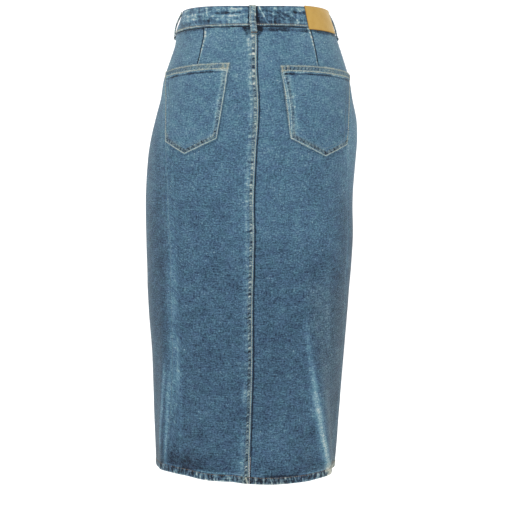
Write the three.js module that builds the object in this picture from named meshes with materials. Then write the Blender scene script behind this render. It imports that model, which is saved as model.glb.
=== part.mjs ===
// Denim midi skirt in its worn shape. Millimetres, +Z up.
// The origin is the middle of the waist opening, at the height where the waist holds it.
// The back of the skirt faces -Y, its front +Y, and +X is the wearer's right hand side.
import * as THREE from "three";
import { mergeVertices } from "three/addons/utils/BufferGeometryUtils.js";

// Cloth and sewing
const CLOTH = 1.5;              // panel wall
const SEAM_GAP = 0.3;           // between two panels along a seam
const LAY_GAP = 0.5;            // between a panel and what is sewn on it
const LAP = { width: 11, rise: 0.9, slope: 1.2, clear: 6 };   // felled seam; clear is in degrees
const HEM = { turn: 13, double: 1.3, groove: 0.5, swell: 0.5, fold: 2.5 };
const DART = { left: -46.3, right: 48, foot: -112, runOut: 16, half: 2.2, deep: 1.1 };
const PANEL = { rows: 28, lip: 10, start: 24, end: 16, frontColumns: 12 };
const BAND_LEVEL = -40;
const HEM_LEVEL = -800;

// Waistband, belt loops, patch, button and zip
const BAND = { out: 1, thick: 2.6, columns: 76, underlap: 14, slide: 30, apart: 0.9 };
const BAND_ROWS = [
  { share: 0, rise: -0.4 }, { share: 0.1, rise: 0 }, { share: 0.5, rise: 0.2 },
  { share: 0.88, rise: -0.5 }, { share: 1, rise: -0.2 },
];
const BAND_TOP = { side: 3, back: 9.2, front: 11 };
const BAND_FOOT = { side: -36, back: 5.2, front: 7.5 };
const ABOVE_BAND = 0.5;         // how far a loop and the patch stand over the band's top edge
const LOOP = { wide: 12, thick: 1.6, stand: 7.4, below: 12, rows: 11, crown: 0.25, sewn: 0.09, bowed: 0.73,
  fold: 0.84, double: 0.9 };
const LOOPS = [
  { name: "belt_loop_back", at: -2.6, over: LAP.rise },
  { name: "belt_loop_left", at: -88 },
  { name: "belt_loop_right", at: 89 },
  { name: "belt_loop_front_left", at: -139 },
  { name: "belt_loop_front_right", at: 140 },
];
const PATCH = { thick: 1.6, top: [48, 83.5], bottom: [46.3, 75.5], below: 4.5, apart: 0.7, columns: 8, rows: 5 };
const BUTTON = { radius: 8.5, shank: 2.6, stand: 1.6, thick: 3, at: 184, apart: 0.5, sides: 24 };
const ZIP = { half: 13, from: -46, to: -205, thick: 1, gap: 0.5, columns: 2, rows: 8 };

// Pockets: x is measured across the back, z is height
const POCKET = { hem: 12, swell: 0.8, slope: 1.4, thick: 1.5, arch: 1.6, columns: 12, rows: 10 };
const POCKETS = [
  { name: "back_pocket_left", top: [-152.5, -107, -41, -104.5], foot: [-152.5, -232.5, -62.5, -231.5],
    tip: [-120.5, -256] },
  { name: "back_pocket_right", top: [41.5, -109, 163, -108], foot: [58, -231, 156.5, -236],
    tip: [113.5, -259] },
];

// Level sections: how far the skirt reaches to each side of the origin, and how square it is
const SECTIONS = [
  { z: 0, left: 127, right: 127, back: 94, front: 92, square: 2.1 },
  { z: -34, left: 138, right: 140, back: 103, front: 99, square: 2.1 },
  { z: -55, left: 140, right: 147, back: 107, front: 102, square: 2.12 },
  { z: -80, left: 148, right: 155, back: 112, front: 105, square: 2.15 },
  { z: -115, left: 160, right: 165, back: 118, front: 108, square: 2.18 },
  { z: -150, left: 166, right: 172, back: 122, front: 110, square: 2.2 },
  { z: -185, left: 175, right: 179, back: 124, front: 110, square: 2.2 },
  { z: -220, left: 183, right: 180, back: 124, front: 110, square: 2.2 },
  { z: -255, left: 188, right: 177, back: 123, front: 109, square: 2.2 },
  { z: -326, left: 192, right: 171, back: 119, front: 106, square: 2.25 },
  { z: -396, left: 191, right: 171, back: 117, front: 104, square: 2.3 },
  { z: -502, left: 188, right: 163, back: 116, front: 103, square: 2.35 },
  { z: -608, left: 180, right: 154, back: 117, front: 104, square: 2.4 },
  { z: -714, left: 176, right: 146, back: 120, front: 107, square: 2.5 },
  { z: -800, left: 172, right: 139, back: 124, front: 112, square: 2.55 },
];

// Seams, in degrees round the skirt from the middle of the back, + towards the right
const SEAMS = [
  { z: 0, left: -88, back: -0.5, right: 89, front: 180 },
  { z: -110, left: -78, back: 0.3, right: 86, front: 180 },
  { z: -160, left: -69.5, back: 1.5, right: 73, front: 180.5 },
  { z: -230, left: -63, back: 3, right: 68, front: 181 },
  { z: -300, left: -59, back: 4.2, right: 73, front: 182 },
  { z: -460, left: -56, back: 4.6, right: 74, front: 183 },
  { z: -600, left: -55, back: 4.7, right: 77.5, front: 183 },
  { z: -715, left: -56.5, back: 4, right: 75, front: 183 },
  { z: -800, left: -63, back: 3.2, right: 68, front: 183 },
];

// Folds: from a height down to another, each with its place, half width and height out there
const FOLDS = [
  { from: -470, to: -800, at: 42, atEnd: 60, wide: 15, wideEnd: 10, rise: 9 },      // right drape
  { from: -540, to: -800, at: 60, atEnd: 76, wide: 12, wideEnd: 10, rise: -4 },
  { from: -280, to: -800, at: -58, atEnd: -62, wide: 9, wideEnd: 10, rise: 4 },     // left drape
  { from: -430, to: -800, at: -44, atEnd: -46, wide: 10, wideEnd: 12, rise: -3 },
  { from: -260, to: -620, at: -22, atEnd: -28, wide: 14, wideEnd: 14, rise: -2.5 },
  { from: -300, to: -760, at: 26, atEnd: 20, wide: 13, wideEnd: 13, rise: -2 },
  { from: -700, to: -800, at: -8, atEnd: -10, wide: 6, wideEnd: 6, rise: -2.5 },
  { from: -330, to: -800, at: 128, atEnd: 139, wide: 14, wideEnd: 12, rise: 6 },    // front
  { from: -420, to: -800, at: 158, atEnd: 160, wide: 15, wideEnd: 14, rise: -5 },
  { from: -360, to: -800, at: -138, atEnd: -146, wide: 15, wideEnd: 12, rise: 6.5 },
  { from: -460, to: -800, at: -166, atEnd: -168, wide: 13, wideEnd: 11, rise: -4 },
  { from: -380, to: -780, at: -98, atEnd: -104, wide: 14, wideEnd: 13, rise: -4 },
  { from: -440, to: -800, at: 100, atEnd: 106, wide: 13, wideEnd: 12, rise: 3.5 },
];

// Height of the hem round the skirt
const HEM_LINE = [
  { at: -180, z: -800 }, { at: -140, z: -795 }, { at: -105, z: -789 }, { at: -80, z: -786.5 },
  { at: -62, z: -786.5 }, { at: -50, z: -789.5 }, { at: -40, z: -791.5 }, { at: -28, z: -795.5 },
  { at: -12, z: -797.3 }, { at: 2, z: -800.3 }, { at: 20, z: -802 }, { at: 36, z: -801 },
  { at: 51, z: -798.5 }, { at: 60, z: -793 }, { at: 70, z: -791.5 }, { at: 90, z: -793 },
  { at: 135, z: -797 }, { at: 180, z: -800 },
];

const NEAR_SIDE = 0.9995;       // nearest to the side that a place across the back is read

const COLOURS = {
  denim: { color: 0x4a6a86, roughness: 0.9, metalness: 0 },
  band: { color: 0x41607d, roughness: 0.9, metalness: 0 },
  leather: { color: 0xc7a45c, roughness: 0.55, metalness: 0 },
  brass: { color: 0x9a7b4a, roughness: 0.35, metalness: 1 },
  tape: { color: 0x2b3c52, roughness: 0.85, metalness: 0 },
};

const radians = THREE.MathUtils.degToRad;
const mix = THREE.MathUtils.lerp;
const smooth = (low, high, value) => THREE.MathUtils.smoothstep(value, low, high);
const clamp = THREE.MathUtils.clamp;
const steps = (count) => Array.from({ length: count + 1 }, (_, index) => index / count);

// One column of a table at a place between its rows, through a smooth Hermite curve
function read(table, key, column, value) {
  const falling = table[0][key] > table[1][key];
  const place = (row) => (falling ? -table[row][key] : table[row][key]);
  const last = table.length - 1;
  const wanted = clamp(falling ? -value : value, place(0), place(last));
  let row = 0;
  while (row < last - 1 && place(row + 1) <= wanted) row += 1;
  const slope = (index) => {
    const before = Math.max(index - 1, 0);
    const after = Math.min(index + 1, last);
    return (table[after][column] - table[before][column]) / (place(after) - place(before));
  };
  const span = place(row + 1) - place(row);
  const t = (wanted - place(row)) / span;
  const start = table[row][column];
  const end = table[row + 1][column];
  return (1 + 2 * t) * (1 - t) ** 2 * start + t * (1 - t) ** 2 * span * slope(row)
    + t * t * (3 - 2 * t) * end + t * t * (t - 1) * span * slope(row + 1);
}

const wrap = (degrees) => degrees - 360 * Math.round(degrees / 360);

// The level section at a height: centre, half width, depth to back or front, squareness
function section(z, isBack) {
  const left = read(SECTIONS, "z", "left", z);
  const right = read(SECTIONS, "z", "right", z);
  return {
    centre: (right - left) / 2,
    half: (right + left) / 2,
    depth: read(SECTIONS, "z", isBack ? "back" : "front", z),
    square: read(SECTIONS, "z", "square", z),
  };
}

// A fold is a cosine hump across, and grows from nothing at its upper end to its full rise
function foldHeight(degrees, z) {
  let rise = 0;
  for (const fold of FOLDS) {
    if (z > fold.from) continue;
    const down = Math.min((fold.from - z) / (fold.from - fold.to), 1);
    const centre = mix(fold.at, fold.atEnd, down);
    const across = Math.abs(wrap(degrees - centre)) / mix(fold.wide, fold.wideEnd, down);
    if (across >= 1) continue;
    const reachesHem = fold.to <= HEM_LEVEL;
    const along = reachesHem ? smooth(0, 0.9, down) : Math.sin(Math.PI * down) ** 2;
    rise += fold.rise * along * Math.cos(across * Math.PI / 2) ** 2;
  }
  return rise;
}

// A point of the skirt's outer face: a superellipse in polar form, raised by the folds
function bare(degrees, z) {
  const sine = Math.sin(radians(degrees));
  const cosine = Math.cos(radians(degrees));
  const { centre, half, depth, square } = section(z, cosine > 0);
  const power = (Math.abs(sine) / half) ** square + (Math.abs(cosine) / depth) ** square;
  const radius = power ** (-1 / square) + foldHeight(degrees, z);
  return new THREE.Vector3(centre + radius * sine, -radius * cosine, z);
}

// The same point moved out along the face's normal
function skin(degrees, z, out = 0) {
  const point = bare(degrees, z);
  const round = bare(degrees + 0.5, z).sub(bare(degrees - 0.5, z));
  const down = bare(degrees, z - 2).sub(bare(degrees, z + 2));
  return point.addScaledVector(down.cross(round).normalize(), out);
}

// The angle of a place on the back that lies x across at height z
function angleAcross(x, z) {
  const { centre, half, depth, square } = section(z, true);
  const share = clamp((x - centre) / half, -NEAR_SIDE, NEAR_SIDE);
  const back = (1 - Math.abs(share) ** square) ** (1 / square);
  return THREE.MathUtils.radToDeg(Math.atan2(share * half, back * depth));
}

const seam = (name, z) => read(SEAMS, "z", name, z);
const hemHeight = (degrees) => read(HEM_LINE, "at", "z", wrap(degrees));

// A long edge of the waistband dips at the middle of the back and of the front
function bandEdge({ side, back, front }, degrees) {
  const cosine = Math.cos(radians(degrees));
  return side - back * Math.max(cosine, 0) ** 1.4 - front * Math.max(-cosine, 0) ** 1.4;
}

const bandTop = (degrees) => bandEdge(BAND_TOP, degrees);
const bandFoot = (degrees) => bandEdge(BAND_FOOT, degrees);

// Degrees round the skirt that a length across covers at a height
function degreesFor(length, degrees, z) {
  return length / bare(degrees + 0.5, z).distanceTo(bare(degrees - 0.5, z));
}

// A closed sheet from two grids of points: outer[row][column] and inner[row][column]
function sheetGeometry(outer, inner) {
  const rows = outer.length;
  const columns = outer[0].length;
  const points = [...outer.flat(), ...inner.flat()];
  const index = [];
  const at = (row, column, isInner = 0) => isInner * rows * columns + row * columns + column;
  const quad = (a, b, c, d) => index.push(a, b, c, a, c, d);
  for (let row = 0; row < rows - 1; row += 1) {
    for (let column = 0; column < columns - 1; column += 1) {
      quad(at(row, column), at(row + 1, column), at(row + 1, column + 1), at(row, column + 1));
      quad(at(row, column, 1), at(row, column + 1, 1), at(row + 1, column + 1, 1), at(row + 1, column, 1));
    }
  }
  for (let column = 0; column < columns - 1; column += 1) {
    const foot = rows - 1;
    quad(at(0, column), at(0, column + 1), at(0, column + 1, 1), at(0, column, 1));
    quad(at(foot, column + 1), at(foot, column), at(foot, column, 1), at(foot, column + 1, 1));
  }
  for (let row = 0; row < rows - 1; row += 1) {
    const end = columns - 1;
    quad(at(row + 1, 0), at(row, 0), at(row, 0, 1), at(row + 1, 0, 1));
    quad(at(row, end), at(row + 1, end), at(row + 1, end, 1), at(row, end, 1));
  }
  const geometry = new THREE.BufferGeometry().setFromPoints(points);
  geometry.setIndex(index);
  geometry.computeVertexNormals();
  return geometry;
}

function piece(name, geometry, colour) {
  const mesh = new THREE.Mesh(geometry, new THREE.MeshStandardMaterial(COLOURS[colour]));
  mesh.name = name;
  return mesh;
}

// Columns of a panel. Each is a function of height that gives its degrees round the skirt,
// how far its outer face is raised there, and how far the whole wall is shifted.
const along = (name, turn = 0) => (z) => seam(name, z) + turn;

function spread(start, end, count) {
  return steps(count).slice(1, -1).map((share) => (z) => ({ degrees: mix(start(z), end(z), share) }));
}

// The edge of a panel at a seam, half the seam's gap back from it; side is +1 or -1 into the panel
function plainEdge(line, side) {
  return [(z) => ({ degrees: line(z) + side * degreesFor(SEAM_GAP / 2, line(z), z) })];
}

// The edge that laps over its neighbour: the cloth is double for the width of the felled seam
function lappedEdge(line, side) {
  const strip = [
    { from: SEAM_GAP / 2, rise: LAP.rise },
    { from: LAP.width, rise: LAP.rise },
    { from: LAP.width + LAP.slope, rise: 0 },
  ].map(({ from, rise }) => (z) => ({ degrees: line(z) + side * degreesFor(from, line(z), z), rise }));
  return side > 0 ? strip : strip.reverse();
}

// A dart is a narrow valley at a fixed angle that runs out at its foot
function dart(degrees) {
  return [-1, 0, 1].map((side) => (z) => ({
    degrees: degrees + side * degreesFor(DART.half, degrees, z),
    shift: side === 0 ? -DART.deep * smooth(DART.foot, DART.foot + DART.runOut, z) : 0,
  }));
}

// A panel hangs from the waistband to the hem; its last rows are the turned and stitched hem
function panel(name, columns) {
  const levels = [
    { drop: 0 },
    { drop: PANEL.lip },
    ...steps(PANEL.rows).map((share) => ({ share })),
    { above: HEM.turn, rise: -HEM.groove },
    { above: HEM.turn - HEM.fold, turned: HEM.double },
    { above: HEM.turn / 2, rise: HEM.swell, turned: HEM.double },
    { above: 0, turned: HEM.double },
  ];
  const outer = levels.map(() => []);
  const inner = levels.map(() => []);
  for (const column of columns) {
    const top = bandFoot(column(BAND_LEVEL).degrees) - LAY_GAP;
    const foot = hemHeight(column(HEM_LEVEL).degrees);
    levels.forEach((level, row) => {
      let z = mix(top - PANEL.start, foot + PANEL.end, level.share ?? 0);
      if (level.drop !== undefined) z = top - level.drop;
      if (level.above !== undefined) z = foot + level.above;
      const { degrees, rise = 0, shift = 0 } = column(z);
      outer[row].push(skin(degrees, z, rise + shift + (level.rise ?? 0)));
      inner[row].push(skin(degrees, z, shift - CLOTH - (level.turned ?? 0)));
    });
  }
  return piece(name, sheetGeometry(outer, inner), "denim");
}

function panels() {
  const back = along("back");
  const front = along("front");
  const left = along("left");
  const right = along("right");
  const leftDart = dart(DART.left);
  const rightDart = dart(DART.right);
  const at = (degrees) => () => degrees;
  return [
    panel("back_panel_left", [
      ...plainEdge(left, 1), ...spread(left, at(DART.left - 1), 5), ...leftDart,
      ...spread(at(DART.left + 1), along("back", -LAP.clear), 6), ...lappedEdge(back, -1),
    ]),
    panel("back_panel_right", [
      ...plainEdge(back, 1), ...spread(back, at(DART.right - 1), 7), ...rightDart,
      ...spread(at(DART.right + 1), right, 5), ...plainEdge(right, -1),
    ]),
    panel("front_panel_right", [
      ...plainEdge(right, 1), ...spread(right, front, PANEL.frontColumns), ...plainEdge(front, -1),
    ]),
    panel("front_panel_left", [
      ...lappedEdge(front, 1), ...spread(along("front", LAP.clear), along("left", 360), PANEL.frontColumns),
      ...plainEdge(along("left", 360), -1),
    ]),
  ];
}

// The waistband runs once round from its free end on the wearer's left, which rides out over
// the other end and buttons to it, down to that other end underneath
function waistband() {
  const from = BUTTON.at - BAND.underlap / 2;
  const turns = steps(BAND.columns).map((share) => from + share * (360 + BAND.underlap));
  const ride = (degrees) => 1 - smooth(from + BAND.underlap + 1, from + BAND.underlap + BAND.slide, degrees);
  const grid = (depth) => BAND_ROWS.map(({ share, rise }) => turns.map((degrees) => {
    const z = mix(bandTop(degrees), bandFoot(degrees), share);
    const lifted = (BAND.thick + BAND.apart) * ride(degrees);
    return skin(degrees, z, BAND.out + lifted + (depth === 0 ? rise : -depth));
  }));
  return piece("waistband", sheetGeometry(grid(0), grid(BAND.thick)), "band");
}

// A belt loop is sewn at both ends and bows out between them; its foot is folded double
function beltLoop({ name, at: middle, over = 0 }) {
  const grid = (isOuter) => steps(LOOP.rows).map((share) => [-1, 0, 1].map((side) => {
    const z = mix(bandTop(middle) + ABOVE_BAND, bandFoot(middle) - LOOP.below, share);
    const degrees = middle + side * degreesFor(LOOP.wide / 2, middle, z);
    const bow = Math.sin(Math.PI * clamp((share - LOOP.sewn) / LOOP.bowed, 0, 1)) ** 0.75;
    const rest = mix(BAND.out + LAY_GAP, LAY_GAP + over, smooth(LOOP.fold - 0.04, LOOP.fold + 0.06, share));
    const thick = LOOP.thick * (1 + LOOP.double * smooth(LOOP.fold, LOOP.fold + 0.06, share));
    const crown = side === 0 ? LOOP.crown : 0;
    return skin(degrees, z, rest + (LOOP.stand - BAND.out) * bow + (isOuter ? thick + crown : 0));
  }));
  return piece(name, sheetGeometry(grid(true), grid(false)), "denim");
}

// The patch covers the band's height and a little of the panel below
function patch() {
  const grid = (out) => steps(PATCH.rows).map((down) => steps(PATCH.columns).map((across) => {
    const [from, to] = [0, 1].map((end) => mix(PATCH.top[end], PATCH.bottom[end], down));
    const degrees = mix(from, to, across);
    const z = mix(bandTop(degrees) + ABOVE_BAND, bandFoot(degrees) - PATCH.below, down);
    return skin(degrees, z, out);
  }));
  const under = BAND.out + PATCH.apart;
  return piece("leather_patch", sheetGeometry(grid(under + PATCH.thick), grid(under)), "leather");
}

// A patch pocket: straight sides, a pointed foot, an arched mouth with a turned double hem
function pocket({ name, top, foot, tip }) {
  const [topLeft, topLeftZ, topRight, topRightZ] = top;
  const [footLeft, footLeftZ, footRight, footRightZ] = foot;
  const angle = (x, z) => clamp(angleAcross(x, z), seam("left", z) + 1, seam("right", z) - 1);
  const footAngles = [angle(footLeft, footLeftZ), angle(footRight, footRightZ)];
  const tipShare = THREE.MathUtils.inverseLerp(...footAngles, angle(...tip));
  const before = Math.round(POCKET.columns * tipShare);
  const shares = [
    ...steps(before).map((share) => share * tipShare),
    ...steps(POCKET.columns - before).slice(1).map((share) => mix(tipShare, 1, share)),
  ];
  const height = (topLeftZ + topRightZ - footLeftZ - footRightZ) / 2;
  const hem = POCKET.hem / height;
  const levels = [
    { down: 0, swell: POCKET.swell }, { down: hem, swell: POCKET.swell },
    { down: hem + POCKET.slope / height, swell: 0 },
    ...steps(POCKET.rows - 2).slice(1).map((share) => ({ down: mix(hem, 1, share), swell: 0 })),
  ];
  const grid = (isOuter) => levels.map(({ down, swell }) => shares.map((across) => {
    const mouth = mix(topLeftZ, topRightZ, across) + POCKET.arch * Math.sin(Math.PI * across);
    const point = across < tipShare
      ? mix(footLeftZ, tip[1], across / tipShare)
      : mix(tip[1], footRightZ, (across - tipShare) / (1 - tipShare));
    const z = mix(mouth, point, down);
    const from = angle(mix(topLeft, footLeft, down), z);
    const to = angle(mix(topRight, footRight, down), z);
    return skin(mix(from, to, across), z, LAY_GAP + (isOuter ? POCKET.thick + swell : 0));
  }));
  return piece(name, sheetGeometry(grid(true), grid(false)), "denim");
}

// The waist button: a domed disc on a short shank, standing on the band's free end
function waistButton() {
  const { radius, shank, stand, thick } = BUTTON;
  const outline = [
    [0, 0], [shank, 0], [shank, stand], [radius - 0.6, stand], [radius, stand + 0.7],
    [radius, stand + thick * 0.6], [radius - 1.4, stand + thick * 0.85], [0, stand + thick],
  ].map(([across, up]) => new THREE.Vector2(across, up));
  const turned = mergeVertices(closed(new THREE.LatheGeometry(outline, BUTTON.sides)), 1e-3);
  const z = (bandTop(BUTTON.at) + bandFoot(BUTTON.at)) / 2;
  const out = BAND.out + BAND.thick + BAND.apart + BUTTON.apart;
  const foot = skin(BUTTON.at, z, out);
  const axis = skin(BUTTON.at, z, out + 1).sub(foot).normalize();
  const mesh = piece("waist_button", turned, "brass");
  mesh.position.copy(foot);
  mesh.quaternion.setFromUnitVectors(new THREE.Vector3(0, 1, 0), axis);
  return mesh;
}

// A turned shape keeps position alone, so that its seam and poles merge into one body
function closed(geometry) {
  geometry.deleteAttribute("normal");
  geometry.deleteAttribute("uv");
  return geometry;
}

// The zip's tape lies behind the front opening
function flyZip() {
  const grid = (out) => steps(ZIP.rows).map((down) => steps(ZIP.columns).map((across) => {
    const z = mix(ZIP.from, ZIP.to, down);
    const middle = seam("front", z);
    return skin(middle + degreesFor(mix(-ZIP.half, ZIP.half, across), middle, z), z, out);
  }));
  const face = -CLOTH - ZIP.gap;
  return piece("fly_zip", sheetGeometry(grid(face), grid(face - ZIP.thick)), "tape");
}

const skirt = new THREE.Group();
skirt.add(...panels(), waistband(), ...LOOPS.map(beltLoop), ...POCKETS.map(pocket));
skirt.add(patch(), waistButton(), flyZip());

export default skirt;
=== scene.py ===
"""Denim midi skirt in the shape that long wear has given it, seen from the back.

All sizes are millimetres in the skirt's own frame, +Z up, the back facing -Y. A place on the
cloth is an angle round the skirt from the middle of the back, in degrees, + towards the
wearer's right, and a height. Meshes are made in metres.
"""

import bmesh
import bpy
import numpy as np
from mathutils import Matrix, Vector


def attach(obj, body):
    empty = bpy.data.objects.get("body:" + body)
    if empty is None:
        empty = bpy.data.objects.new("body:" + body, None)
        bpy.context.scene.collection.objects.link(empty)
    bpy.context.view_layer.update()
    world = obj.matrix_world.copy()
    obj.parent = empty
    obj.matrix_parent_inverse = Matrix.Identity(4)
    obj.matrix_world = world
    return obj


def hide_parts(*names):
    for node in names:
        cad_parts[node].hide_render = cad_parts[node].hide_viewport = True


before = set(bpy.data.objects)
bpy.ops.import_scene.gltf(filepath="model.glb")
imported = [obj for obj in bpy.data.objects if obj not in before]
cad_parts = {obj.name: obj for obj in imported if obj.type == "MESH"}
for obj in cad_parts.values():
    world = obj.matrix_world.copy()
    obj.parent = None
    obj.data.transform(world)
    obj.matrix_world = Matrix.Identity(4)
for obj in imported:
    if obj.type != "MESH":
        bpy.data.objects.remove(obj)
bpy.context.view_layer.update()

MM = 0.001
BODY = "root"

# The photograph's view
CAMERA = {"distance": 1.9, "height": -0.423, "focal_px": 1078, "frame_px": 510}
FLOOR = -1.06

# Cloth and sewing, as the solids have them
CLOTH = 1.5
LAY_GAP = 0.5
LAP = {"rise": 0.9, "row": 2.3, "second_row": 9.0}
HEM = {"turn": 13.0, "double": 1.3, "row": 10.6}
DARTS = {"left": -46.3, "right": 48.0, "foot": -112.0, "run_out": 16.0}
BAND = {"out": 1.0, "thick": 2.6, "underlap": 14.0, "slide": 30.0, "apart": 0.9}
LOOP = {"wide": 11.0, "thick": 1.6, "stand": 3.1, "row": 0.62, "fold": 0.6}
PATCH = {"thick": 1.6, "top": (48.0, 83.5), "bottom": (46.3, 75.5), "below": 4.5}
BUTTON = {"radius": 8.5, "shank": 2.6, "stand": 1.6, "thick": 3.0, "at": 184.0}
ZIP = {"half": 13.0, "from": -46.0, "to": -205.0, "thick": 1.0, "gap": 0.5}
POCKET = {"hem": 12.0, "swell": 0.8, "thick": 1.5, "arch": 1.6, "wide": 115.0, "long": 128.0,
          "row": 1.8, "second_row": 9.8, "foot_row": 11.5}
FLY = {"rows": (34.0, 40.0), "top": -46.0, "bend": -150.0, "straight": 0.68}
BAND_LEVEL = -40.0
HEM_LEVEL = -800.0

# Thread: stitch length, gap between stitches, half thickness
STITCH = {"long": 2.7, "gap": 0.7, "radius": 0.38}


def table(columns, *rows):
    """Named columns of a short table."""
    return dict(zip(columns.split(), np.array(rows, float).T))


SECTIONS = table(
    "z left right back front square",
    (0, 127, 127, 94, 92, 2.10),
    (-34, 138, 140, 103, 99, 2.10),
    (-55, 140, 147, 107, 102, 2.12),
    (-80, 148, 155, 112, 105, 2.15),
    (-115, 160, 165, 118, 108, 2.18),
    (-150, 166, 172, 122, 110, 2.20),
    (-185, 175, 179, 124, 110, 2.20),
    (-220, 183, 180, 124, 110, 2.20),
    (-255, 188, 177, 123, 109, 2.20),
    (-326, 192, 171, 119, 106, 2.25),
    (-396, 191, 171, 117, 104, 2.30),
    (-502, 188, 163, 116, 103, 2.35),
    (-608, 180, 154, 117, 104, 2.40),
    (-714, 176, 146, 120, 107, 2.50),
    (-800, 172, 139, 124, 112, 2.55),
)

SEAMS = table(
    "z left back right front",
    (0, -88, -0.5, 89, 180),
    (-110, -78, 0.3, 86, 180),
    (-160, -69.5, 1.5, 73, 180.5),
    (-230, -63, 3, 68, 181),
    (-300, -59, 4.2, 73, 182),
    (-460, -56, 4.6, 74, 183),
    (-600, -55, 4.7, 77.5, 183),
    (-715, -56.5, 4, 75, 183),
    (-800, -63, 3.2, 68, 183),
)

FOLDS = table(
    "top foot at at_foot wide wide_foot rise",
    (-470, -800, 42, 60, 15, 10, 9),
    (-540, -800, 60, 76, 12, 10, -4),
    (-280, -800, -58, -62, 9, 10, 4),
    (-430, -800, -44, -46, 10, 12, -3),
    (-260, -620, -22, -28, 14, 14, -2.5),
    (-300, -760, 26, 20, 13, 13, -2),
    (-700, -800, -8, -10, 6, 6, -2.5),
    (-330, -800, 128, 139, 14, 12, 6),
    (-420, -800, 158, 160, 15, 14, -5),
    (-360, -800, -138, -146, 15, 12, 6.5),
    (-460, -800, -166, -168, 13, 11, -4),
    (-380, -780, -98, -104, 14, 13, -4),
    (-440, -800, 100, 106, 13, 12, 3.5),
)

HEM_LINE = table(
    "at z",
    (-180, -800), (-140, -795), (-105, -789), (-80, -786.5), (-62, -786.5), (-50, -789.5),
    (-40, -791.5), (-28, -795.5), (-12, -797.3), (2, -800.3), (20, -802), (36, -801),
    (51, -798.5), (60, -793), (70, -791.5), (90, -793), (135, -797), (180, -800),
)

# Painted light from above: how light the cloth's colour is made from the band down to the hem, 0 dark, 1 light
PAINTED_TOP_LIGHT = table(
    "z tone",
    (0, 1.0), (-95, 0.97), (-130, 0.88), (-166, 0.78), (-240, 0.64), (-323, 0.48), (-380, 0.35),
    (-440, 0.22), (-572, 0.12), (-706, 0.12), (-810, 0.05),
)

# Where the felled seam at the middle of the back is rubbed pale: height, half length, strength
RUBBED = table(
    "z tall pale",
    (-63, 10, 1.3), (-132, 9, 1.0), (-191, 12, 0.9), (-249, 9, 0.6), (-298, 12, 0.9),
    (-340, 8, 0.5), (-373, 12, 0.8), (-423, 9, 0.5), (-464, 10, 0.7), (-506, 9, 0.45),
    (-572, 14, 0.6), (-655, 16, 0.65), (-730, 12, 0.6), (-772, 12, 0.7),
)

# Rubbed and dark strokes on the back of the waistband: angle and share of its height at both
# ends, half width in mm, and how pale (+) or dark (-)
BAND_STROKES = table(
    "at share at_end share_end wide worn",
    (-46.2, 0.03, -44.1, 0.63, 1.3, 0.75), (3.6, 0.03, 11.8, 0.9, 1.3, 0.95),
    (18.2, 0.08, 16.2, 0.92, 1.4, 0.7), (18.6, 0.11, 26.8, 0.56, 1.5, 0.5),
    (33.7, 0.4, 40.1, 0.8, 1.4, 0.6), (38.7, 0.1, 45.1, 0.44, 1.5, 0.5),
    (-71, 0.5, -60, 0.36, 1.6, 0.55), (-60, 0.36, -49, 0.4, 1.6, 0.5),
    (-40, 0.5, -23, 0.53, 1.5, 0.6), (-23, 0.53, -7, 0.38, 1.6, 0.75),
    (-57.7, 0.05, -51.5, 0.36, 1.5, 0.45), (-37, 0.23, -12, 0.14, 3.6, 0.6),
    (-37, 0.36, -14, 0.35, 1.8, -0.8), (-36, 0.72, -21.6, 0.75, 4, 0.4),
    (-19.8, 0.75, -8, 0.72, 3.6, 0.45), (-70, 0.6, -54, 0.62, 3.6, 0.4),
    (23.9, 0.6, 25.6, 0.92, 2.6, 0.45), (29.4, 0.6, 30.1, 0.92, 2.6, 0.45),
    (39.3, 0.62, 36.4, 0.92, 3.0, 0.4), (36, 0.3, 45, 0.36, 2.6, -0.7),
    (21.8, 0.36, 29.9, 0.5, 3.2, -0.6), (-72, 0.13, -57.8, 0.12, 2.4, 0.35),
    (-11, 0.04, -8.9, 0.31, 2.6, -0.5), (-43, 0.7, -37, 0.65, 3.2, -0.5),
    (1.5, 0.3, 3.5, 0.9, 3.2, -0.45), (8, 0.1, 14, 0.45, 3.4, -0.35),
)

POCKETS = {
    "back_pocket_left": {"top": ((-152.5, -107), (-41, -104.5)), "foot": ((-152.5, -232.5), (-62.5, -231.5)),
                         "tip": (-120.5, -256), "inner": 1},
    "back_pocket_right": {"top": ((41.5, -109), (163, -108)), "foot": ((58, -231), (156.5, -236)),
                          "tip": (113.5, -259), "inner": 0},
}

# Each belt loop's middle, what it rides over at its foot, and how far it reaches below the band
LOOPS = {
    "belt_loop_back": (-2.6, LAP["rise"], 15.0),
    "belt_loop_left": (-88.0, 0.0, 8.0),
    "belt_loop_right": (89.0, 0.0, 10.0),
    "belt_loop_front_left": (-139.0, 0.0, 12.0),
    "belt_loop_front_right": (140.0, 0.0, 12.0),
}


def smooth(low, high, value):
    """0 below low, 1 above high, a cubic ease between."""
    t = np.clip((value - low) / (high - low), 0, 1)
    return t * t * (3 - 2 * t)


def mix(a, b, t):
    return a + (b - a) * t


def hump(value, width):
    """A soft bell: 1 at 0, and about a third at the width."""
    return np.exp(-np.square(value / width))


def read(rows, key, column, value):
    """A table's column at a place between its rows, through a smooth Hermite curve."""
    places, values = rows[key], rows[column]
    if places[0] > places[-1]:
        places, value = -places, -np.asarray(value, float)
    slopes = np.empty_like(values)
    slopes[1:-1] = (values[2:] - values[:-2]) / (places[2:] - places[:-2])
    slopes[0] = (values[1] - values[0]) / (places[1] - places[0])
    slopes[-1] = (values[-1] - values[-2]) / (places[-1] - places[-2])
    value = np.clip(value, places[0], places[-1])
    row = np.clip(np.searchsorted(places, value, side="right") - 1, 0, len(places) - 2)
    span = places[row + 1] - places[row]
    t = (value - places[row]) / span
    return ((1 + 2 * t) * (1 - t) ** 2 * values[row] + t * (1 - t) ** 2 * span * slopes[row]
            + t * t * (3 - 2 * t) * values[row + 1] + t * t * (t - 1) * span * slopes[row + 1])


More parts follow.
